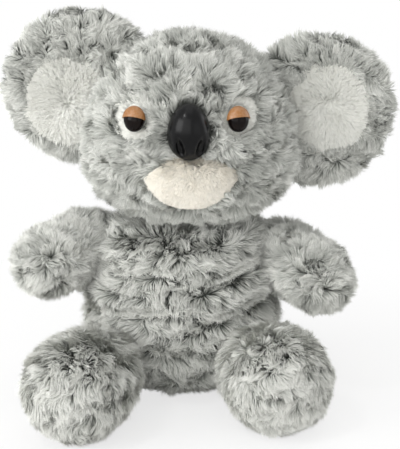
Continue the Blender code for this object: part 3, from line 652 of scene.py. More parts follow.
def front_depth(cloth, x_places, heights):
    """The Y of a form's front surface over each place in the XZ plane, from its six nearest front points."""
    points = mesh_array(cloth.data)
    front = points[points[:, 1] < points[:, 1].mean()]
    wanted = np.stack((x_places, heights), axis=-1).reshape(-1, 2)
    apart = np.linalg.norm(wanted[:, None] - front[None][..., (0, 2)], axis=-1)
    near = np.argsort(apart, axis=1)[:, :6]
    weight = 1.0 / (np.take_along_axis(apart, near, axis=1) + 0.0005) ** 2
    depth = (front[near, 1] * weight).sum(axis=1) / weight.sum(axis=1)
    return depth.reshape(np.shape(x_places))


def cushion_rings(centre, half, rise, cloth, rows=24, columns=48):
    """A thin elliptical cushion on the front of a form.

    Rows run from the middle of its back, which lies sunk under the cloth, over the edge to the middle of its
    front, which rises as the square root of one minus the squared distance from the middle.
    """
    share = np.linspace(0, 1, rows)[:, None]
    out = np.sin(share * pi)
    around = once_round(columns)
    x_places = centre[0] + half[0] * out * np.cos(around)
    heights = centre[1] + half[1] * out * np.sin(around)
    dome = np.sqrt(np.clip(1.0 - out**2, 0, 1)) * (share >= 0.5)
    lift = -PATCH_SINK + (rise + PATCH_SINK) * dome + 0 * around
    return np.stack((x_places, front_depth(cloth, x_places, heights) - lift, heights), axis=-1)


class KOALA_OT_white_patches(bpy.types.Operator):
    """Lay the white cloth patches in the ears and round the eyes, and the muzzle's pad"""

    bl_idname = "koala.white_patches"
    bl_label = "White cloth patches"

    def execute(self, context):
        def patch(name, rings, body):
            """One white cloth that stands for the solid patch of its name."""
            mesh = ball_mesh(name + "_white_cloth", rings)
            return add_piece(mesh.name, mesh, "white_backing", body, (name + "_patch",))

        cloths = bpy.data.objects
        for side in ("right", "left"):
            ear, eye = side + "_ear", side + "_eye"
            shape = (EAR_PATCHES[side], EAR_PATCH_HALF, EAR_PATCH_RISE)
            patch(ear, cushion_rings(*shape, cloths[ear + "_cloth"]), ear)
            shape = (EYE_PATCHES[side], EYE_PATCH_HALF, EYE_PATCH_RISE)
            patch(eye, cushion_rings(*shape, cloths["head_cloth"]), "head")
        centre = np.array(MUZZLE_CENTRE) + MUZZLE_PAD_RISE
        half = np.array(MUZZLE_HALF) - MUZZLE_PAD_INSET
        pad = patch("muzzle", stuffed_rings(DISC_SHARES, (centre - half, centre + half)), "head")
        return {"FINISHED"}


# --- pile


def scatter(mesh, count, rng):
    """Roots spread evenly over a mesh: triangles drawn by area, and in each a point from two folded draws."""
    mesh.calc_loop_triangles()
    corners = np.empty(len(mesh.loop_triangles) * 3, dtype=np.int32)
    mesh.loop_triangles.foreach_get("vertices", corners)
    corners = corners.reshape(-1, 3)
    points, normals = mesh_array(mesh), mesh_array(mesh, "normal")
    a, b, c = (points[corners[:, k]] for k in range(3))
    area = np.linalg.norm(np.cross(b - a, c - a), axis=1)
    pick = np.searchsorted(np.cumsum(area) / area.sum(), rng.random(count))
    pick = np.minimum(pick, len(area) - 1)
    u, v = rng.random((2, count, 1))
    fold = u + v > 1
    u, v = np.where(fold, 1 - u, u), np.where(fold, 1 - v, v)
    weights = (1 - u - v, u, v)
    roots = sum(w * points[corners[pick, k]] for k, w in enumerate(weights))
    facing = unit(sum(w * normals[corners[pick, k]] for k, w in enumerate(weights)))
    return roots, facing


def turned(vectors, axes, angles):
    """Each vector turned about its own axis, to which it is square: v cos a + (axis x v) sin a."""
    return vectors * np.cos(angles)[:, None] + np.cross(axes, vectors) * np.sin(angles)[:, None]


def crushing(size, run_weights, swirl, rng, count=10, least=0.6, most=1.5, even=2.2):
    """A smooth random push at every place, as if the pile had been crushed, as a function of places.

    It is the sum of sin(k . place + start) over a count of plane waves about one size long, evened
    to a strength of about one. Each pushes along its own run, which parts the pile and heaps it, and
    by the swirl's share across it.
    """
    run = unit(rng.normal(size=(count, 3)) * np.array(run_weights))
    across = unit(np.cross(run, rng.normal(size=(count, 3))))
    waves = (run * 2 * pi / size * rng.uniform(least, most, (count, 1))).T
    starts = rng.uniform(0, 2 * pi, count)
    return lambda places: np.sin(places @ waves + starts) @ (run + swirl * across) / even


def lock_of(points, size, rng):
    """The lock of each root: cubes of one size each hold a jittered middle, and the nearest wins."""
    seeds = rng.integers(1, 2**31, 3)
    cube = np.floor(points / size).astype(np.int64)
    best = np.full(len(points), np.inf)
    chosen = np.zeros(len(points), dtype=np.int64)
    for step in np.ndindex(3, 3, 3):
        near = cube + np.array(step) - 1
        # Three large primes mix a cube's place into one number
        mixed = (near[:, 0] * 73856093) ^ (near[:, 1] * 19349663) ^ (near[:, 2] * 83492791)
        jitter = np.stack([((mixed * seed) >> 7) % 1009 / 1009 for seed in seeds], axis=1)
        apart = (((near + jitter) * size - points) ** 2).sum(axis=1)
        closer = apart < best
        best = np.where(closer, apart, best)
        chosen = np.where(closer, mixed, chosen)
    return np.unique(chosen, return_inverse=True)[1]


def mean_by(ids, values):
    """The mean of the values that share an id, given back to each."""
    flat = values.reshape(len(values), -1)
    counts = np.bincount(ids)
    sums = np.stack([np.bincount(ids, flat[:, k]) for k in range(flat.shape[1])], axis=1)
    return (sums / counts[:, None])[ids].reshape(values.shape)


def lying(heading, normals):
    """Headings laid flat on the cloth, one long each."""
    return unit(heading - (heading * normals).sum(axis=1, keepdims=True) * normals)


def strand_steps(stand, lie, lengths):
    """How far a strand runs along and above its cloth on each of its two steps.

    Its angle over the cloth falls evenly from stand to lie, so these are integrals of its cosine and sine.
    """
    fall = lie - stand
    angle = stand[:, None] + fall[:, None] * PLACES[None, :]
    along = np.diff(np.sin(angle), axis=1) / fall[:, None]
    above = -np.diff(np.cos(angle), axis=1) / fall[:, None]
    return along * lengths[:, None], above * lengths[:, None]


# Where a strand's three points lie along it
PLACES = np.array([0.0, 0.55, 1.0])
# Roots drawn for each strand that is wanted, since many fall where a panel keeps none
OVERDRAW = 5
# How far the random draws reach: a strand's own, and then those by lock, by wisp and by strand
OWN_TURN, OWN_STAND, OWN_LIE = 0.15, 0.08, 0.08
# Limits to a strand's length in shares, and the heave at which the painted shade of heaps neither darkens nor
# pales the pile
LENGTH_LIMITS, MIDDLE_HEAVE = (0.6, 1.3), 0.8
LENGTH_SHARES, LIE_SHARES, SHADE_SHARES = (0.4, 0.3, 0.5), (0.14, 0.10), (0.16, 0.16, 0.14)

# Each coat of pile:
#   uneven: spread of the lengths
#   stand, lie, heave: angles over the cloth at root and tip, and how much a heap lifts the tip
#   crush, crush_size, run_weights, swirl: strength, size, main directions and cross share of the crushing
#   lock_turn, lock_pull: how far a lock turns, and how far it draws its strands together
#   wisp, wisp_turn, wisp_pull: size of a wisp within a lock, its turn and its pull
#   shade, dim: lean to the pale ramp, which paints light and shade region by region, and how much more of it
#       the pile has where it isn't heaped, which paints shade in the heaps
GREY_COAT = {
    "uneven": 0.16, "stand": radians(76), "lie": radians(13), "crush": 1.15, "crush_size": 0.017,
    "run_weights": (0.45, 0.45, 1), "swirl": 0.9, "heave": 0.25, "lock_turn": 0.35, "lock_pull": 0.16,
    "wisp": 0.0012, "wisp_turn": 0.20, "wisp_pull": 0.32, "shade": 0.08, "dim": 0.30,
}
# Painted shade: the head's pile leans to the deep ramp, darker than the rest, since the lamps light the head
# more strongly than the body
HEAD_COAT = dict(
    GREY_COAT, crush=1.2, lock_turn=0.45, lock_pull=0.18, wisp_pull=0.42, heave=0.45, shade=-0.44, dim=0.90
)
# Painted light: the torso's pile leans to the pale ramp, which lifts the shadow that the head casts on the
# chest
TORSO_COAT = dict(GREY_COAT, crush=1.2, run_weights=(0.25, 0.25, 1.0), swirl=0.6, shade=0.20)
# Painted light and shade: the right arm, on the side the key lamp lights, is paler, and the left arm, on the
# shaded side, is darker, with deeper painted shade in its heaps
ARM_COATS = {
    "right_arm": dict(GREY_COAT, crush=1.1, lie=radians(10), shade=0.16, dim=0.40),
    "left_arm": dict(GREY_COAT, crush=1.3, lie=radians(10), heave=0.35, shade=-0.26, dim=0.60),
}
# Painted light: the legs' pile leans far to the pale ramp, which lifts the shade among the strands on the
# narrow legs
LEG_COAT = dict(
    GREY_COAT, crush=0.65, crush_size=0.015, lie=radians(8), heave=0.10, lock_pull=0.10, shade=0.42,
    dim=0.20,
)
EAR_COAT = dict(
    GREY_COAT, crush=0.9, crush_size=0.018, lie=radians(10), lock_pull=0.10, wisp_pull=0.24,
    shade=-0.14, dim=0.35,
)
WHITE_COAT = {
    "uneven": 0.08, "stand": radians(80), "lie": radians(36), "crush": 0.14, "crush_size": 0.030,
    "run_weights": (1, 1, 1), "swirl": 0.8, "heave": 0.10, "lock_turn": 0.10, "lock_pull": 0.03,
    "wisp": 0.0014, "wisp_turn": 0.15, "wisp_pull": 0.07, "shade": 0.32, "dim": 0.0,
}
# Painted shade: the ears' white pile leans less to the pale ramp than the face's, for the shade it lies in,
# sunk inside the grey rim
EAR_WHITE_COAT = dict(WHITE_COAT, stand=radians(76), lie=radians(23), wisp_pull=0.20, shade=0.15)


def grow_pile(cloth, count, length, lock, coat, comb, keep, clear, seed):
    """Strands rooted on a cloth as points at three places each, with their roots' normals and their shades.

    A strand heads where the comb and the crushing send it, turned by its lock's own angle and by its
    wisp's, and half way up it bends to the heading that holds there. It leans from stand to lie, and
    its outer part is drawn towards the mean of its lock and of its wisp.
    """
    rng = np.random.default_rng(seed)
    roots, normals = scatter(cloth.data, count * OVERDRAW, rng)
    wanted = np.flatnonzero(keep(roots, normals))[:count]
    roots, normals = roots[wanted], normals[wanted]
    push = crushing(coat["crush_size"], coat["run_weights"], coat["swirl"], rng)
    locks, wisps = lock_of(roots, lock, rng), lock_of(roots, coat["wisp"], rng)
    per_lock = rng.normal(size=(locks.max() + 1, 4))[locks]
    per_wisp = rng.normal(size=(wisps.max() + 1, 3))[wisps]
    own = rng.normal(size=(len(roots), 4))
    angle = coat["lock_turn"] * per_lock[:, 0] + coat["wisp_turn"] * per_wisp[:, 0]
    angle += OWN_TURN * own[:, 0]

    def heading(places):
        """The way that the pile lies at each place."""
        way = unit(comb(places, normals)) + coat["crush"] * push(places)
        return turned(lying(way, normals), normals, angle)

    heave = np.abs((push(roots) * normals).sum(axis=1))
    by_lock, by_wisp, by_own = LENGTH_SHARES
    uneven = coat["uneven"] * (by_lock * per_lock[:, 1] + by_wisp * per_wisp[:, 1] + by_own * own[:, 1])
    lengths = length * np.clip(1 + uneven, *LENGTH_LIMITS)
    stand = coat["stand"] + OWN_STAND * own[:, 2]
    lie = coat["lie"] + coat["heave"] * heave
    lie += LIE_SHARES[0] * per_lock[:, 2]
    lie += LIE_SHARES[1] * per_wisp[:, 2]
    lie += OWN_LIE * own[:, 1]
    along, above = strand_steps(stand, np.minimum(lie, stand - 0.2), lengths)
    middles = roots + along[:, :1] * heading(roots) + above[:, :1] * normals
    tips = middles + along[:, 1:] * heading(middles + along[:, :1] * heading(roots)) + above[:, 1:] * normals
    points = np.stack((roots, middles, tips), axis=1)
    draw = (PLACES**1.3)[None, :, None]
    points += coat["lock_pull"] * draw * (mean_by(locks, points) - points)
    points += coat["wisp_pull"] * draw * (mean_by(wisps, points) - points)
    points[..., 2] = np.maximum(points[..., 2], FLOOR_CLEARANCE)
    # The coat's shade paints light and shade on its whole region; the draws by lock, wisp and strand give
    # random tone
    by_lock, by_wisp, by_own = SHADE_SHARES
    shade = 0.5 + coat["shade"] + by_lock * per_lock[:, 3] + by_wisp * per_wisp[:, 1] + by_own * own[:, 3]
    # Painted shade: the pile is darker where the crushing heaps it and paler where it doesn't, as if shade lay
    # deep in its heaps and partings
    shade += coat["dim"] * (MIDDLE_HEAVE - heave)
    free = clear(points[:, 1]) & clear(points[:, 2])
    return points[free], normals[free], np.clip(shade[free], 0.02, 0.98), rng


def ribbon_mesh(name, points, normals, width, shade, rng):
    """Tapering ribbons along the strands: two points at the root, two half way up and one at the tip.

    A ribbon faces away from the cloth, rolled a little about its own run. Its shading normal lies
    between its own face and the cloth's, which softens the light as a deep pile does.
    """
    count = len(points)
    root, middle, tip = points[:, 0], points[:, 1], points[:, 2]
    runs = unit(np.stack((middle - root, tip - root, tip - middle), axis=1))
    facing = normals[:, None] - (normals[:, None] * runs).sum(axis=2, keepdims=True) * runs
    facing = unit(facing + 1e-6)
    roll = rng.uniform(-0.8, 0.8, count)[:, None, None]
    level = np.cross(runs, facing)
    across = level * np.cos(roll) + facing * np.sin(roll)
    half = width * np.array([0.5, 0.46])[None, :, None] * across[:, :2]
    verts = np.empty((count, 5, 3))
    verts[:, 0:4:2] = points[:, :2] - half
    verts[:, 1:4:2] = points[:, :2] + half
    verts[:, 4] = points[:, 2]
    smooth = unit(facing * np.cos(roll) - level * np.sin(roll) + 0.6 * normals[:, None])[:, (0, 0, 1, 1, 2)]
    pattern = np.array([0, 1, 3, 2, 2, 3, 4])
    corners = (np.arange(count)[:, None] * 5 + pattern).ravel().astype(np.int32)
    starts = (np.arange(count)[:, None] * 7 + np.array([0, 4])).ravel().astype(np.int32)
    mesh = bpy.data.meshes.new(name)
    mesh.vertices.add(count * 5)
    mesh.vertices.foreach_set("co", verts.ravel())
    mesh.loops.add(len(corners))
    mesh.loops.foreach_set("vertex_index", corners)
    mesh.polygons.add(len(starts))
    mesh.polygons.foreach_set("loop_start", starts)
    heights = np.array([0.02, 0.02, 0.55, 0.55, 0.98])
    places = np.stack(np.broadcast_arrays(shade[:, None], heights[None, :]), axis=-1).reshape(-1, 2)
    layer = mesh.uv_layers.new(name="OFBake")
    layer.uv.foreach_set("vector", places[corners].ravel())
    mesh.update(calc_edges=True)
    mesh.shade_smooth()
    mesh.normals_split_custom_set_from_vertices(smooth.reshape(-1, 3))
    return mesh


def away_from(*place):
    """A comb that runs away from a place."""
    return lambda roots, normals: roots - np.array(place)


def one_way(*heading):
    """A comb that runs one way."""
    return lambda roots, normals: np.zeros_like(roots) + np.array(heading)


def in_ellipse(roots, centre, half, margin=0.0):
    """Whether each root lies over an ellipse in the XZ plane, widened by the margin."""
    across = (roots[:, 0] - centre[0]) / (half[0] + margin)
    upright = (roots[:, 2] - centre[1]) / (half[1] + margin)
    return across**2 + upright**2 < 1


def eye_centres():
    """The XZ middle of each eye."""
    boxes = {side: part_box(side + "_eye") for side in ("right", "left")}
    return {side: ((low.x + high.x) / 2, (low.z + high.z) / 2) for side, (low, high) in boxes.items()}


def face_clear(points):
    """Points that don't hide the nose or an eye, which only those before its widest ring can."""
    nose_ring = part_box("nose")[0].y + NOSE_DEPTH
    hiding = in_ellipse(points, NOSE_CENTRE, NOSE_HALF, margin=-0.0010) & (points[:, 1] < nose_ring)
    for side, centre in eye_centres().items():
        over = in_ellipse(points, centre, (EYE_HALF_WIDTH, EYE_HALF_HEIGHT), margin=-0.0014)
        hiding |= over & (points[:, 1] < eye_seat(side)[0][1] + 0.0010)
    return ~hiding


def patches_clear(points):
    """Points of grey pile that don't hide the face or more than the edge of a white patch."""
    hiding = on_muzzle_white(points, margin=0.0008)
    for centre in EYE_PATCHES.values():
        hiding |= in_ellipse(points, centre, EYE_PATCH_HALF, margin=-0.0020)
    return face_clear(points) & ~(hiding & (points[:, 1] < 0))


def anywhere(points):
    """All points."""
    return np.ones(len(points), dtype=bool)


def in_limb_root(roots):
    """Roots that the round head of a limb covers."""
    covered = np.zeros(len(roots), dtype=bool)
    for limb, (root, _) in LIMBS.items():
        covered |= np.linalg.norm(roots - np.array(root), axis=1) < root_radius(limb) - NEST_COVER
    return covered


def off_floor(roots):
    """Roots that stand above the flat of the seat."""
    return roots[:, 2] > SEAT_HEIGHT + 0.0005


def off_torso(roots, normals):
    """Roots on a limb that stand outside the torso and above the floor."""
    half_width, half_depth, height = TORSO_CORE
    inside = (roots[:, 0] / half_width) ** 2 + (roots[:, 1] / half_depth) ** 2 < 1
    return ~(inside & (roots[:, 2] < height)) & off_floor(roots)


def on_white(roots):
    """Roots on the head that the nose, the muzzle or an eye's patch covers."""
    covered = in_ellipse(roots, NOSE_CENTRE, NOSE_HALF, margin=-0.0035)
    covered |= in_ellipse(roots, MUZZLE_CENTRE[::2], MUZZLE_HALF[::2], margin=-0.0015)
    for side in ("right", "left"):
        covered |= in_ellipse(roots, EYE_PATCHES[side], EYE_PATCH_HALF, margin=-0.0018)
    return covered & (roots[:, 1] < 0)


def on_muzzle_white(roots, margin=0.0):
    """Whether a place on the muzzle lies in its white half moon, between a flat brow and a deep chin."""
    across = roots[:, 0] - MUZZLE_CENTRE[0]
    rise = roots[:, 2] - MUZZLE_CENTRE[2] - MOON_SLOPE * across
    brow, chin = (height + bend * across**2 for height, bend in (MOON_BROW, MOON_CHIN))
    return (rise < brow - margin) & (rise > chin + margin)


def muzzle_parted(roots, normals):
    """A comb that runs from the muzzle's middle line outwards and down."""
    side = np.tanh((roots[:, 0] - MUZZLE_CENTRE[0]) / 0.012)
    return np.stack((0.7 * side, np.zeros(len(roots)), np.full(len(roots), -1.0)), axis=1)


def torso_comb(roots, normals):
    """A comb that runs down, but up just over each crease of the torso, where the pile parts.

    The parting is a bell curve over the crease. Over the shoulders, which set in from 32 to 47 mm
    out and from 65 to 85 mm up, the comb runs outwards.
    """
    up = PARTING * np.exp(-((above_crease(roots) / PARTING_WIDTH) ** 2))
    outer = np.clip((np.abs(roots[:, 0]) - 0.032) / 0.015, 0, 1)
    shoulder = 2.0 * outer * np.clip((roots[:, 2] - 0.065) / 0.02, 0, 1)
    sideways = 0.3 * np.sin(roots[:, 0] * 70.0) + shoulder * np.sign(roots[:, 0])
    return np.stack((sideways, np.zeros(len(roots)), (up - 1.0) / (1.0 + shoulder) + 0.8 * shoulder), axis=1)


# Strands of each panel, by the end of its name
STRANDS = {
    "pile_front": 60000, "pile_back": 22000, "pile_face": 60000, "pile_crown": 34000, "pile_nape": 18000,
    "arm_pile": 44000, "leg_pile": 62000, "ear_pile": 46000, "ear_white_pile": 18000,
    "eye_white_pile": 7500, "muzzle_white_pile": 26000, "pile_edge": 9000,
}


def torso_panels(sizes):
    """The torso's pile: crushed into level rolls, combed down and outwards."""
    def half(sign):
        return lambda roots, normals: (sign * roots[:, 1] < 0) & ~in_limb_root(roots) & off_floor(roots)

    rest = (sizes.long_pile, TORSO_COAT, torso_comb)
    return [
        ("torso_pile_front", "torso", "torso_cloth", *rest, half(1), anywhere),
        ("torso_pile_back", "torso", "torso_cloth", *rest, half(-1), anywhere),
    ]


def head_panels(sizes):
    """The head's pile: away from the nose, over the crown and cheeks to the nape."""
    def face(roots, normals):
        return (roots[:, 1] < FACE_BACK) & ~on_white(roots)

    def crown(roots, normals):
        return (roots[:, 1] >= FACE_BACK) & (roots[:, 1] < NAPE_FRONT)

    def nape(roots, normals):
        return roots[:, 1] >= NAPE_FRONT

    rest = (sizes.long_pile, HEAD_COAT, away_from(NOSE_CENTRE[0], -0.075, NOSE_CENTRE[1] - 0.004))
    return [
        ("head_pile_face", "head", "head_cloth", *rest, face, patches_clear),
        ("head_pile_crown", "head", "head_cloth", *rest, crown, anywhere),
        ("head_pile_nape", "head", "head_cloth", *rest, nape, anywhere),
    ]


def limb_panels(sizes):
    """The limbs' pile: away from the front of each paw on the arms, and down over the soles."""
    panels = []
    for limb, (root, end) in LIMBS.items():
        coat, comb = LEG_COAT, one_way(0.25 * np.sign(end[0]), -0.60, -1.0)
        if is_arm(limb):
            paw_front = 0.4 * np.array(root) + 0.6 * np.array(end) + np.array((0.0, -0.030, 0.004))
            coat, comb = ARM_COATS[limb], away_from(*paw_front)
        rest = (sizes.long_pile, coat, comb, off_torso, anywhere)
        panels.append((limb + "_pile", limb, limb + "_cloth", *rest))
    return panels


def ear_panels(sizes, side):
    """An ear's pile: outwards to its rim, and white in the middle of its front."""
    ear = side + "_ear"
    x_place, height = EAR_PATCHES[side]
    comb = away_from(x_place, EAR_Y - 0.034, height)

    def grey(roots, normals):
        white = in_ellipse(roots, EAR_PATCHES[side], EAR_PATCH_HALF, margin=-0.0010) & (normals[:, 1] < 0)
        return ~white & (head_reach(roots, CLOTH_INSET) > EAR_ROOT_REACH)

    def white(roots, normals):
        return (normals[:, 1] < 0.1) & (head_reach(roots, CLOTH_INSET) > EAR_ROOT_REACH)

    def clear_of_white(points):
        return ~(in_ellipse(points, EAR_PATCHES[side], EAR_PATCH_HALF, margin=-0.0015) & (points[:, 1] < EAR_Y))

    grey_rest = (sizes.ear_pile, EAR_COAT, comb, grey, clear_of_white)
    white_rest = (sizes.white_pile * 1.5, EAR_WHITE_COAT, comb, white, anywhere)
    return [
        (ear + "_pile", ear, ear + "_cloth", *grey_rest),
        (ear + "_white_pile", ear, ear + "_white_cloth", *white_rest),
    ]


def face_panels(sizes):
    """The short white pile round the eyes and on the muzzle, and the grey round the muzzle's white."""
    panels = []
    for side, centre in eye_centres().items():
        def ring(roots, normals, centre=centre):
            over = in_ellipse(roots, centre, (EYE_HALF_WIDTH, EYE_HALF_HEIGHT), margin=-0.0005)
            return (normals[:, 1] < 0.6) & ~over

        rest = (sizes.white_pile, WHITE_COAT, away_from(centre[0], -0.06, centre[1]), ring, face_clear)
        panels.append((side + "_eye_white_pile", "head", side + "_eye_white_cloth", *rest))

    def moon(roots, normals):
        return (normals[:, 1] < 0.3) & on_muzzle_white(roots)

    def edge(roots, normals):
        return (normals[:, 1] < 0.3) & ~on_muzzle_white(roots)

    rest = (sizes.white_pile, WHITE_COAT, muzzle_parted, moon, face_clear)
    panels.append(("muzzle_white_pile", "head", "muzzle_white_cloth", *rest))
    rest = (sizes.long_pile * 0.8, HEAD_COAT, muzzle_parted, edge, patches_clear)
    panels.append(("muzzle_pile_edge", "head", "muzzle_white_cloth", *rest))
    return panels


class KOALA_OT_pile(bpy.types.Operator):
    """Grow the grey and white pile, panel by panel"""

    bl_idname = "koala.pile"
    bl_label = "Pile"

    def execute(self, context):
        sizes = context.scene.koala_sizes
        panels = torso_panels(sizes) + head_panels(sizes) + limb_panels(sizes)
        panels += ear_panels(sizes, "right") + ear_panels(sizes, "left") + face_panels(sizes)
        for seed, (name, body, cloth, length, *rest) in enumerate(panels, 11):
            count = next(number for ending, number in STRANDS.items() if name.endswith(ending))
            points, normals, shade, rng = grow_pile(
                bpy.data.objects[cloth], count, length, sizes.lock_size, *rest, seed
            )
            mesh = ribbon_mesh(name, points, normals, sizes.strand_width, shade, rng)
            slot = "white_pile" if name.endswith("white_pile") else "grey_plush"
            finish = "cream_pile" if name == "muzzle_white_pile" else slot
            add_piece(name, mesh, finish, body)
        return {"FINISHED"}


# --- face


class KOALA_OT_nose(bpy.types.Operator):
    """Mould the nose, an egg with two nostril hollows"""

    bl_idname = "koala.nose"
    bl_label = "Nose"

    def execute(self, context):
        mesh = ball_mesh("nose_moulding", nose_rings())
        add_piece("nose_moulding", mesh, "nose_plastic", "head", ("nose",))
        return {"FINISHED"}


def nose_rings(columns=112, rows=84, sweep=0.62 * pi):
    """The nose's rings from its back to its front pole.

    A point is (sin t cos u, -cos t, sin t sin u) on the nose's half sizes, narrowed towards the top. Each
    nostril is a drop-shaped hollow, a bell curve of the distance from its middle, leaning outwards upwards.
    """
    low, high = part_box("nose")
    tilt = np.linspace(0, 1, rows)[:, None] * sweep
    around = once_round(columns)
    z_share = np.sin(tilt) * np.sin(around)
    x_local = np.sin(tilt) * np.cos(around) * (high.x - low.x) * NOSE_FILL * (1 - NOSE_TAPER * z_share)
    z_local = z_share * (high.z - low.z) * NOSE_FILL - NOSE_DROP
    hollow = 0
    for side in (-1.0, 1.0):
        out = side * (NOSTRIL_OUT + NOSTRIL_LEAN * (z_local + NOSTRIL_FOOT))
        across = (x_local - NOSTRIL_MIDDLE - out) / NOSTRIL_HALF_WIDTH
        half = np.where(z_local > NOSTRIL_HEIGHT, NOSTRIL_UP, NOSTRIL_DOWN)
        upright = (z_local - NOSTRIL_HEIGHT) / half
        hollow = hollow + np.exp(-((across**2 + upright**2) ** 1.9))
    y_local = -(np.cos(tilt) + 0 * around) * NOSE_DEPTH + NOSTRIL_DEPTH * hollow
    x_middle, z_middle = (low.x + high.x) / 2, (low.z + high.z) / 2
    places = (x_middle + x_local, low.y + NOSE_DEPTH + y_local, z_middle + z_local)
    points = np.stack(places, axis=-1)
    back = np.zeros_like(points[-1:]) + points[-1].mean(axis=0)
    return np.concatenate((points, back), axis=0)[::-1]


def eye_seat(side):
    """The middle of an eye's face, and its axes: right, up and outwards."""
    sign = -1.0 if side == "right" else 1.0
    level = cos(EYE_PITCH)
    outwards = np.array((sign * sin(EYE_YAW) * level, -cos(EYE_YAW) * level, sin(EYE_PITCH)))
    points = mesh_array(frame["nodes"][side + "_eye"].data)
    apex = points[np.argmax(points @ outwards)]
    x_axis = unit(np.cross((0.0, 0.0, 1.0), outwards))
    return apex - outwards * EYE_DOME, np.array((x_axis, np.cross(outwards, x_axis), outwards))


def eye_rings(columns=64):
    """An eye's rings: an oval dome, a thin rim, a flat back and a round shank, turned about its own axis."""
    angle = np.linspace(0, pi / 2, 28)
    out = np.concatenate((np.sin(angle), EYE_BACK_SHARES))[:, None]
    rise = np.concatenate((EYE_DOME * np.cos(angle), EYE_BACK_RISES))[:, None]
    around = once_round(columns)
    wide, high = EYE_HALF_WIDTH * out * np.cos(around), EYE_HALF_HEIGHT * out * np.sin(around)
    return np.stack((wide, high, rise + 0 * around), axis=-1)[::-1]


def lid_grid(wall, rows=28, columns=56):
    """The lid over an eye, grown by a wall.

    A point is (a cos s, b sin s sin p, c sin s cos p), with s from corner to corner and p from the
    lid's edge, a little above the middle, up to the eye's plane.
    """
    sweep = np.linspace(0.02, pi - 0.02, columns)[None, :]
    lift = np.linspace(LID_EDGE, pi / 2, rows)[:, None]
    return np.stack(
        (
            (EYE_HALF_WIDTH + wall) * np.cos(sweep) + 0 * lift,
            (EYE_HALF_HEIGHT + wall) * np.sin(sweep) * np.sin(lift),
            (EYE_DOME + wall) * np.sin(sweep) * np.cos(lift),
        ),
        axis=-1,
    )


def shell_mesh(name, outer, inner):
    """Two like grids of points closed into one thin shell by walls along their four edges."""
    rows, columns, _ = outer.shape
    index = np.arange(rows * columns).reshape(rows, columns)
    quads = np.stack((index[:-1, :-1], index[:-1, 1:], index[1:, 1:], index[1:, :-1]), axis=-1).reshape(-1, 4)
    shift = rows * columns
    edge = np.concatenate((index[0, :-1], index[:-1, -1], index[-1, :0:-1], index[:0:-1, 0]))
    after = np.roll(edge, -1)
    walls = np.stack((edge, edge + shift, after + shift, after), axis=-1)
    faces = np.concatenate((quads, quads[:, ::-1] + shift, walls))
    mesh = bpy.data.meshes.new(name)
    mesh.from_pydata(np.vstack((outer.reshape(-1, 3), inner.reshape(-1, 3))).tolist(), [], faces.tolist())
    shape = bmesh.new()
    shape.from_mesh(mesh)
    bmesh.ops.recalc_face_normals(shape, faces=shape.faces)
    shape.to_mesh(mesh)
    shape.free()
    mesh.shade_smooth()
    return mesh


class KOALA_OT_eyes(bpy.types.Operator):
    """Mould the eyes and their half-closed lids"""

    bl_idname = "koala.eyes"
    bl_label = "Eyes and lids"

    def execute(self, context):
        for side in ("right", "left"):
            centre, axes = eye_seat(side)
            eye = ball_mesh(side + "_eye_moulding", eye_rings() @ axes + centre)
            shells = [lid_grid(wall) @ axes + centre for wall in (LID_WALL, LID_CLEARANCE)]
            lid = shell_mesh(side + "_lid_moulding", *shells)
            for mesh, slot, node in ((eye, "eye_plastic", "_eye"), (lid, "lid_plastic", "_eyelid")):
                add_piece(mesh.name, mesh, slot, "head", (side + node,))
        return {"FINISHED"}


class KOALA_OT_fittings(bpy.types.Operator):
    """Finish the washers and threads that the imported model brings"""

    bl_idname = "koala.fittings"
    bl_label = "Washers and threads"

    def execute(self, context):
        fittings = {
            "washer_plastic": ("nose_washer", "right_eye_washer", "left_eye_washer"),
            "thread": ("closing_thread", "neck_stitching"),
        }
        for kind, names in fittings.items():
            for name in names:
                dress(frame["nodes"][name].data, finish_of(kind))
        return {"FINISHED"}


# --- stage

VIEW_TARGET = Vector((0.012, 0.0, 0.1065))
VIEW_RISE, VIEW_DISTANCE, VIEW_FOCAL_PIXELS, VIEW_WIDTH_PIXELS = radians(16.0), 1.0, 1587.0, 400.0
FLOOR_REACH = 3.0
# Name, place, side in metres and watts of each square lamp
LAMPS = (
    ("key_softbox", (-1.20, -0.80, 0.60), 0.90, 12.5),
    ("small_softbox", (-0.50, -0.58, 1.12), 0.16, 2.2),
    ("fill_softbox", (0.95, -0.95, 0.30), 0.90, 1.2),
    ("front_softbox", (-0.50, -1.80, 0.75), 1.80, 13.0),
    ("top_softbox", (0.00, -0.10, 1.35), 0.90, 2.0),
    ("side_softbox", (1.30, 0.45, 0.40), 0.90, 4.0),
    ("back_softbox", (0.20, 1.40, 0.60), 1.00, 7.0),
)


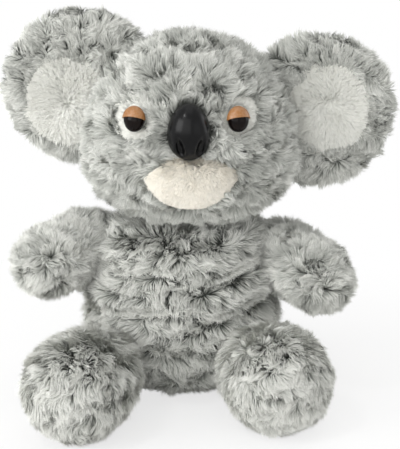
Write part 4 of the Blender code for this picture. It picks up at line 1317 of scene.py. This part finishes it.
class KOALA_OT_stage(bpy.types.Operator):
    """Set the pale floor, the soft lamps and the camera"""

    bl_idname = "koala.stage"
    bl_label = "Stage"

    def execute(self, context):
        scene = context.scene
        mesh = bpy.data.meshes.new("pale_floor")
        corners = [(x * FLOOR_REACH, y * FLOOR_REACH, 0) for x, y in ((-1, -1), (1, -1), (1, 1), (-1, 1))]
        mesh.from_pydata(corners, [], [(0, 1, 2, 3)])
        mesh.materials.append(white_sweep())
        floor = bpy.data.objects.new("pale_floor", mesh)
        scene.collection.objects.link(floor)
        scene.world = studio_world()
        for name, place, side, watts in LAMPS:
            lamp = bpy.data.lights.new(name, "AREA")
            lamp.shape, lamp.size, lamp.energy = "SQUARE", side, watts
            holder = bpy.data.objects.new(name, lamp)
            holder.location = place
            holder.rotation_euler = (VIEW_TARGET - holder.location).to_track_quat("-Z", "Y").to_euler()
            scene.collection.objects.link(holder)
        lens = bpy.data.cameras.new("photo_view")
        lens.sensor_fit, lens.sensor_width = "HORIZONTAL", 36.0
        lens.lens = lens.sensor_width * VIEW_FOCAL_PIXELS / VIEW_WIDTH_PIXELS
        camera = bpy.data.objects.new("photo_view", lens)
        camera.location = VIEW_TARGET + VIEW_DISTANCE * Vector((0.0, -cos(VIEW_RISE), sin(VIEW_RISE)))
        camera.rotation_euler = (pi / 2 - VIEW_RISE, 0.0, 0.0)
        scene.collection.objects.link(camera)
        scene.camera = camera
        scene.view_settings.view_transform = "Standard"
        return {"FINISHED"}


def seen_ray(tree):
    """One for the rays that look at the background: the camera's, and those of metal, glass and gloss."""
    rays = add_node(tree, "ShaderNodeLightPath").outputs
    seen = rays["Is Camera Ray"]
    for ray in ("Is Glossy Ray", "Is Transmission Ray"):
        settings = {"operation": "ADD", "use_clamp": True}
        seen = add_node(tree, "ShaderNodeMath", settings, {0: seen, 1: rays[ray]}).outputs[0]
    return seen


def white_sweep():
    """Matt white paper that takes the toy's shadow, and that is plain white to the camera further out."""
    paper = {"Roughness": 0.9, "Base Color": linear("#f8f8f7")}
    material, tree, shader = new_material("matt_white_sweep", paper)
    place = add_node(tree, "ShaderNodeTexCoord")
    away = add_node(tree, "ShaderNodeVectorMath", {"operation": "LENGTH"}, {0: place.outputs["Object"]})
    settings = {"From Min": 0.10, "From Max": 0.30, "To Min": 0.72}
    far = add_node(tree, "ShaderNodeMapRange", settings, {"Value": away.outputs["Value"]})
    links = {0: far.outputs[0], 1: seen_ray(tree)}
    seen = add_node(tree, "ShaderNodeMath", {"operation": "MULTIPLY"}, links)
    white = add_node(tree, "ShaderNodeEmission", {"Color": linear("#ffffff"), "Strength": 1.0})
    links = {0: seen.outputs[0], 1: shader.outputs[0], 2: white.outputs[0]}
    mix = add_node(tree, "ShaderNodeMixShader", links=links)
    tree.links.new(mix.outputs[0], tree.nodes["Material Output"].inputs["Surface"])
    return material


def studio_world():
    """A soft white room, at full strength only where the camera or a reflection looks at it."""
    world = bpy.data.worlds.new("studio")
    world.use_nodes = True
    tree = world.node_tree
    tree.nodes.clear()
    soft, plain = (
        add_node(tree, "ShaderNodeBackground", {"Color": linear("#ffffff"), "Strength": strength}).outputs[0]
        for strength in (0.45, 1.0)
    )
    mix = add_node(tree, "ShaderNodeMixShader", links={0: seen_ray(tree), 1: soft, 2: plain})
    add_node(tree, "ShaderNodeOutputWorld", links={"Surface": mix.outputs[0]})
    return world


# --- panel and registering

STEPS = (
    KOALA_OT_stuffed_forms,
    KOALA_OT_white_patches,
    KOALA_OT_pile,
    KOALA_OT_nose,
    KOALA_OT_eyes,
    KOALA_OT_fittings,
    KOALA_OT_stage,
)


class KOALA_PT_panel(bpy.types.Panel):
    """The koala's steps, sizes and colours"""

    bl_idname = "KOALA_PT_panel"
    bl_label = "Plush Koala"
    bl_space_type = "VIEW_3D"
    bl_region_type = "UI"
    bl_category = "Koala"

    def draw(self, context):
        for step in STEPS:
            self.layout.operator(step.bl_idname)
        for group in (context.scene.koala_sizes, context.scene.koala_colours):
            for name in group.__annotations__:
                self.layout.prop(group, name)


CLASSES = (KoalaSizes, KoalaColours, *STEPS, KOALA_PT_panel)


def register():
    """Register the classes and hang the sizes and colours on the scene."""
    for entry in CLASSES:
        bpy.utils.register_class(entry)
    bpy.types.Scene.koala_sizes = PointerProperty(type=KoalaSizes)
    bpy.types.Scene.koala_colours = PointerProperty(type=KoalaColours)


def unregister():
    """Take the sizes, colours and classes off again."""
    del bpy.types.Scene.koala_colours
    del bpy.types.Scene.koala_sizes
    for entry in reversed(CLASSES):
        bpy.utils.unregister_class(entry)


def main():
    """Run every step in order."""
    register()
    bpy.ops.koala.stuffed_forms()
    bpy.ops.koala.white_patches()
    bpy.ops.koala.pile()
    bpy.ops.koala.nose()
    bpy.ops.koala.eyes()
    bpy.ops.koala.fittings()
    bpy.ops.koala.stage()


if __name__ == "__main__":
    main()
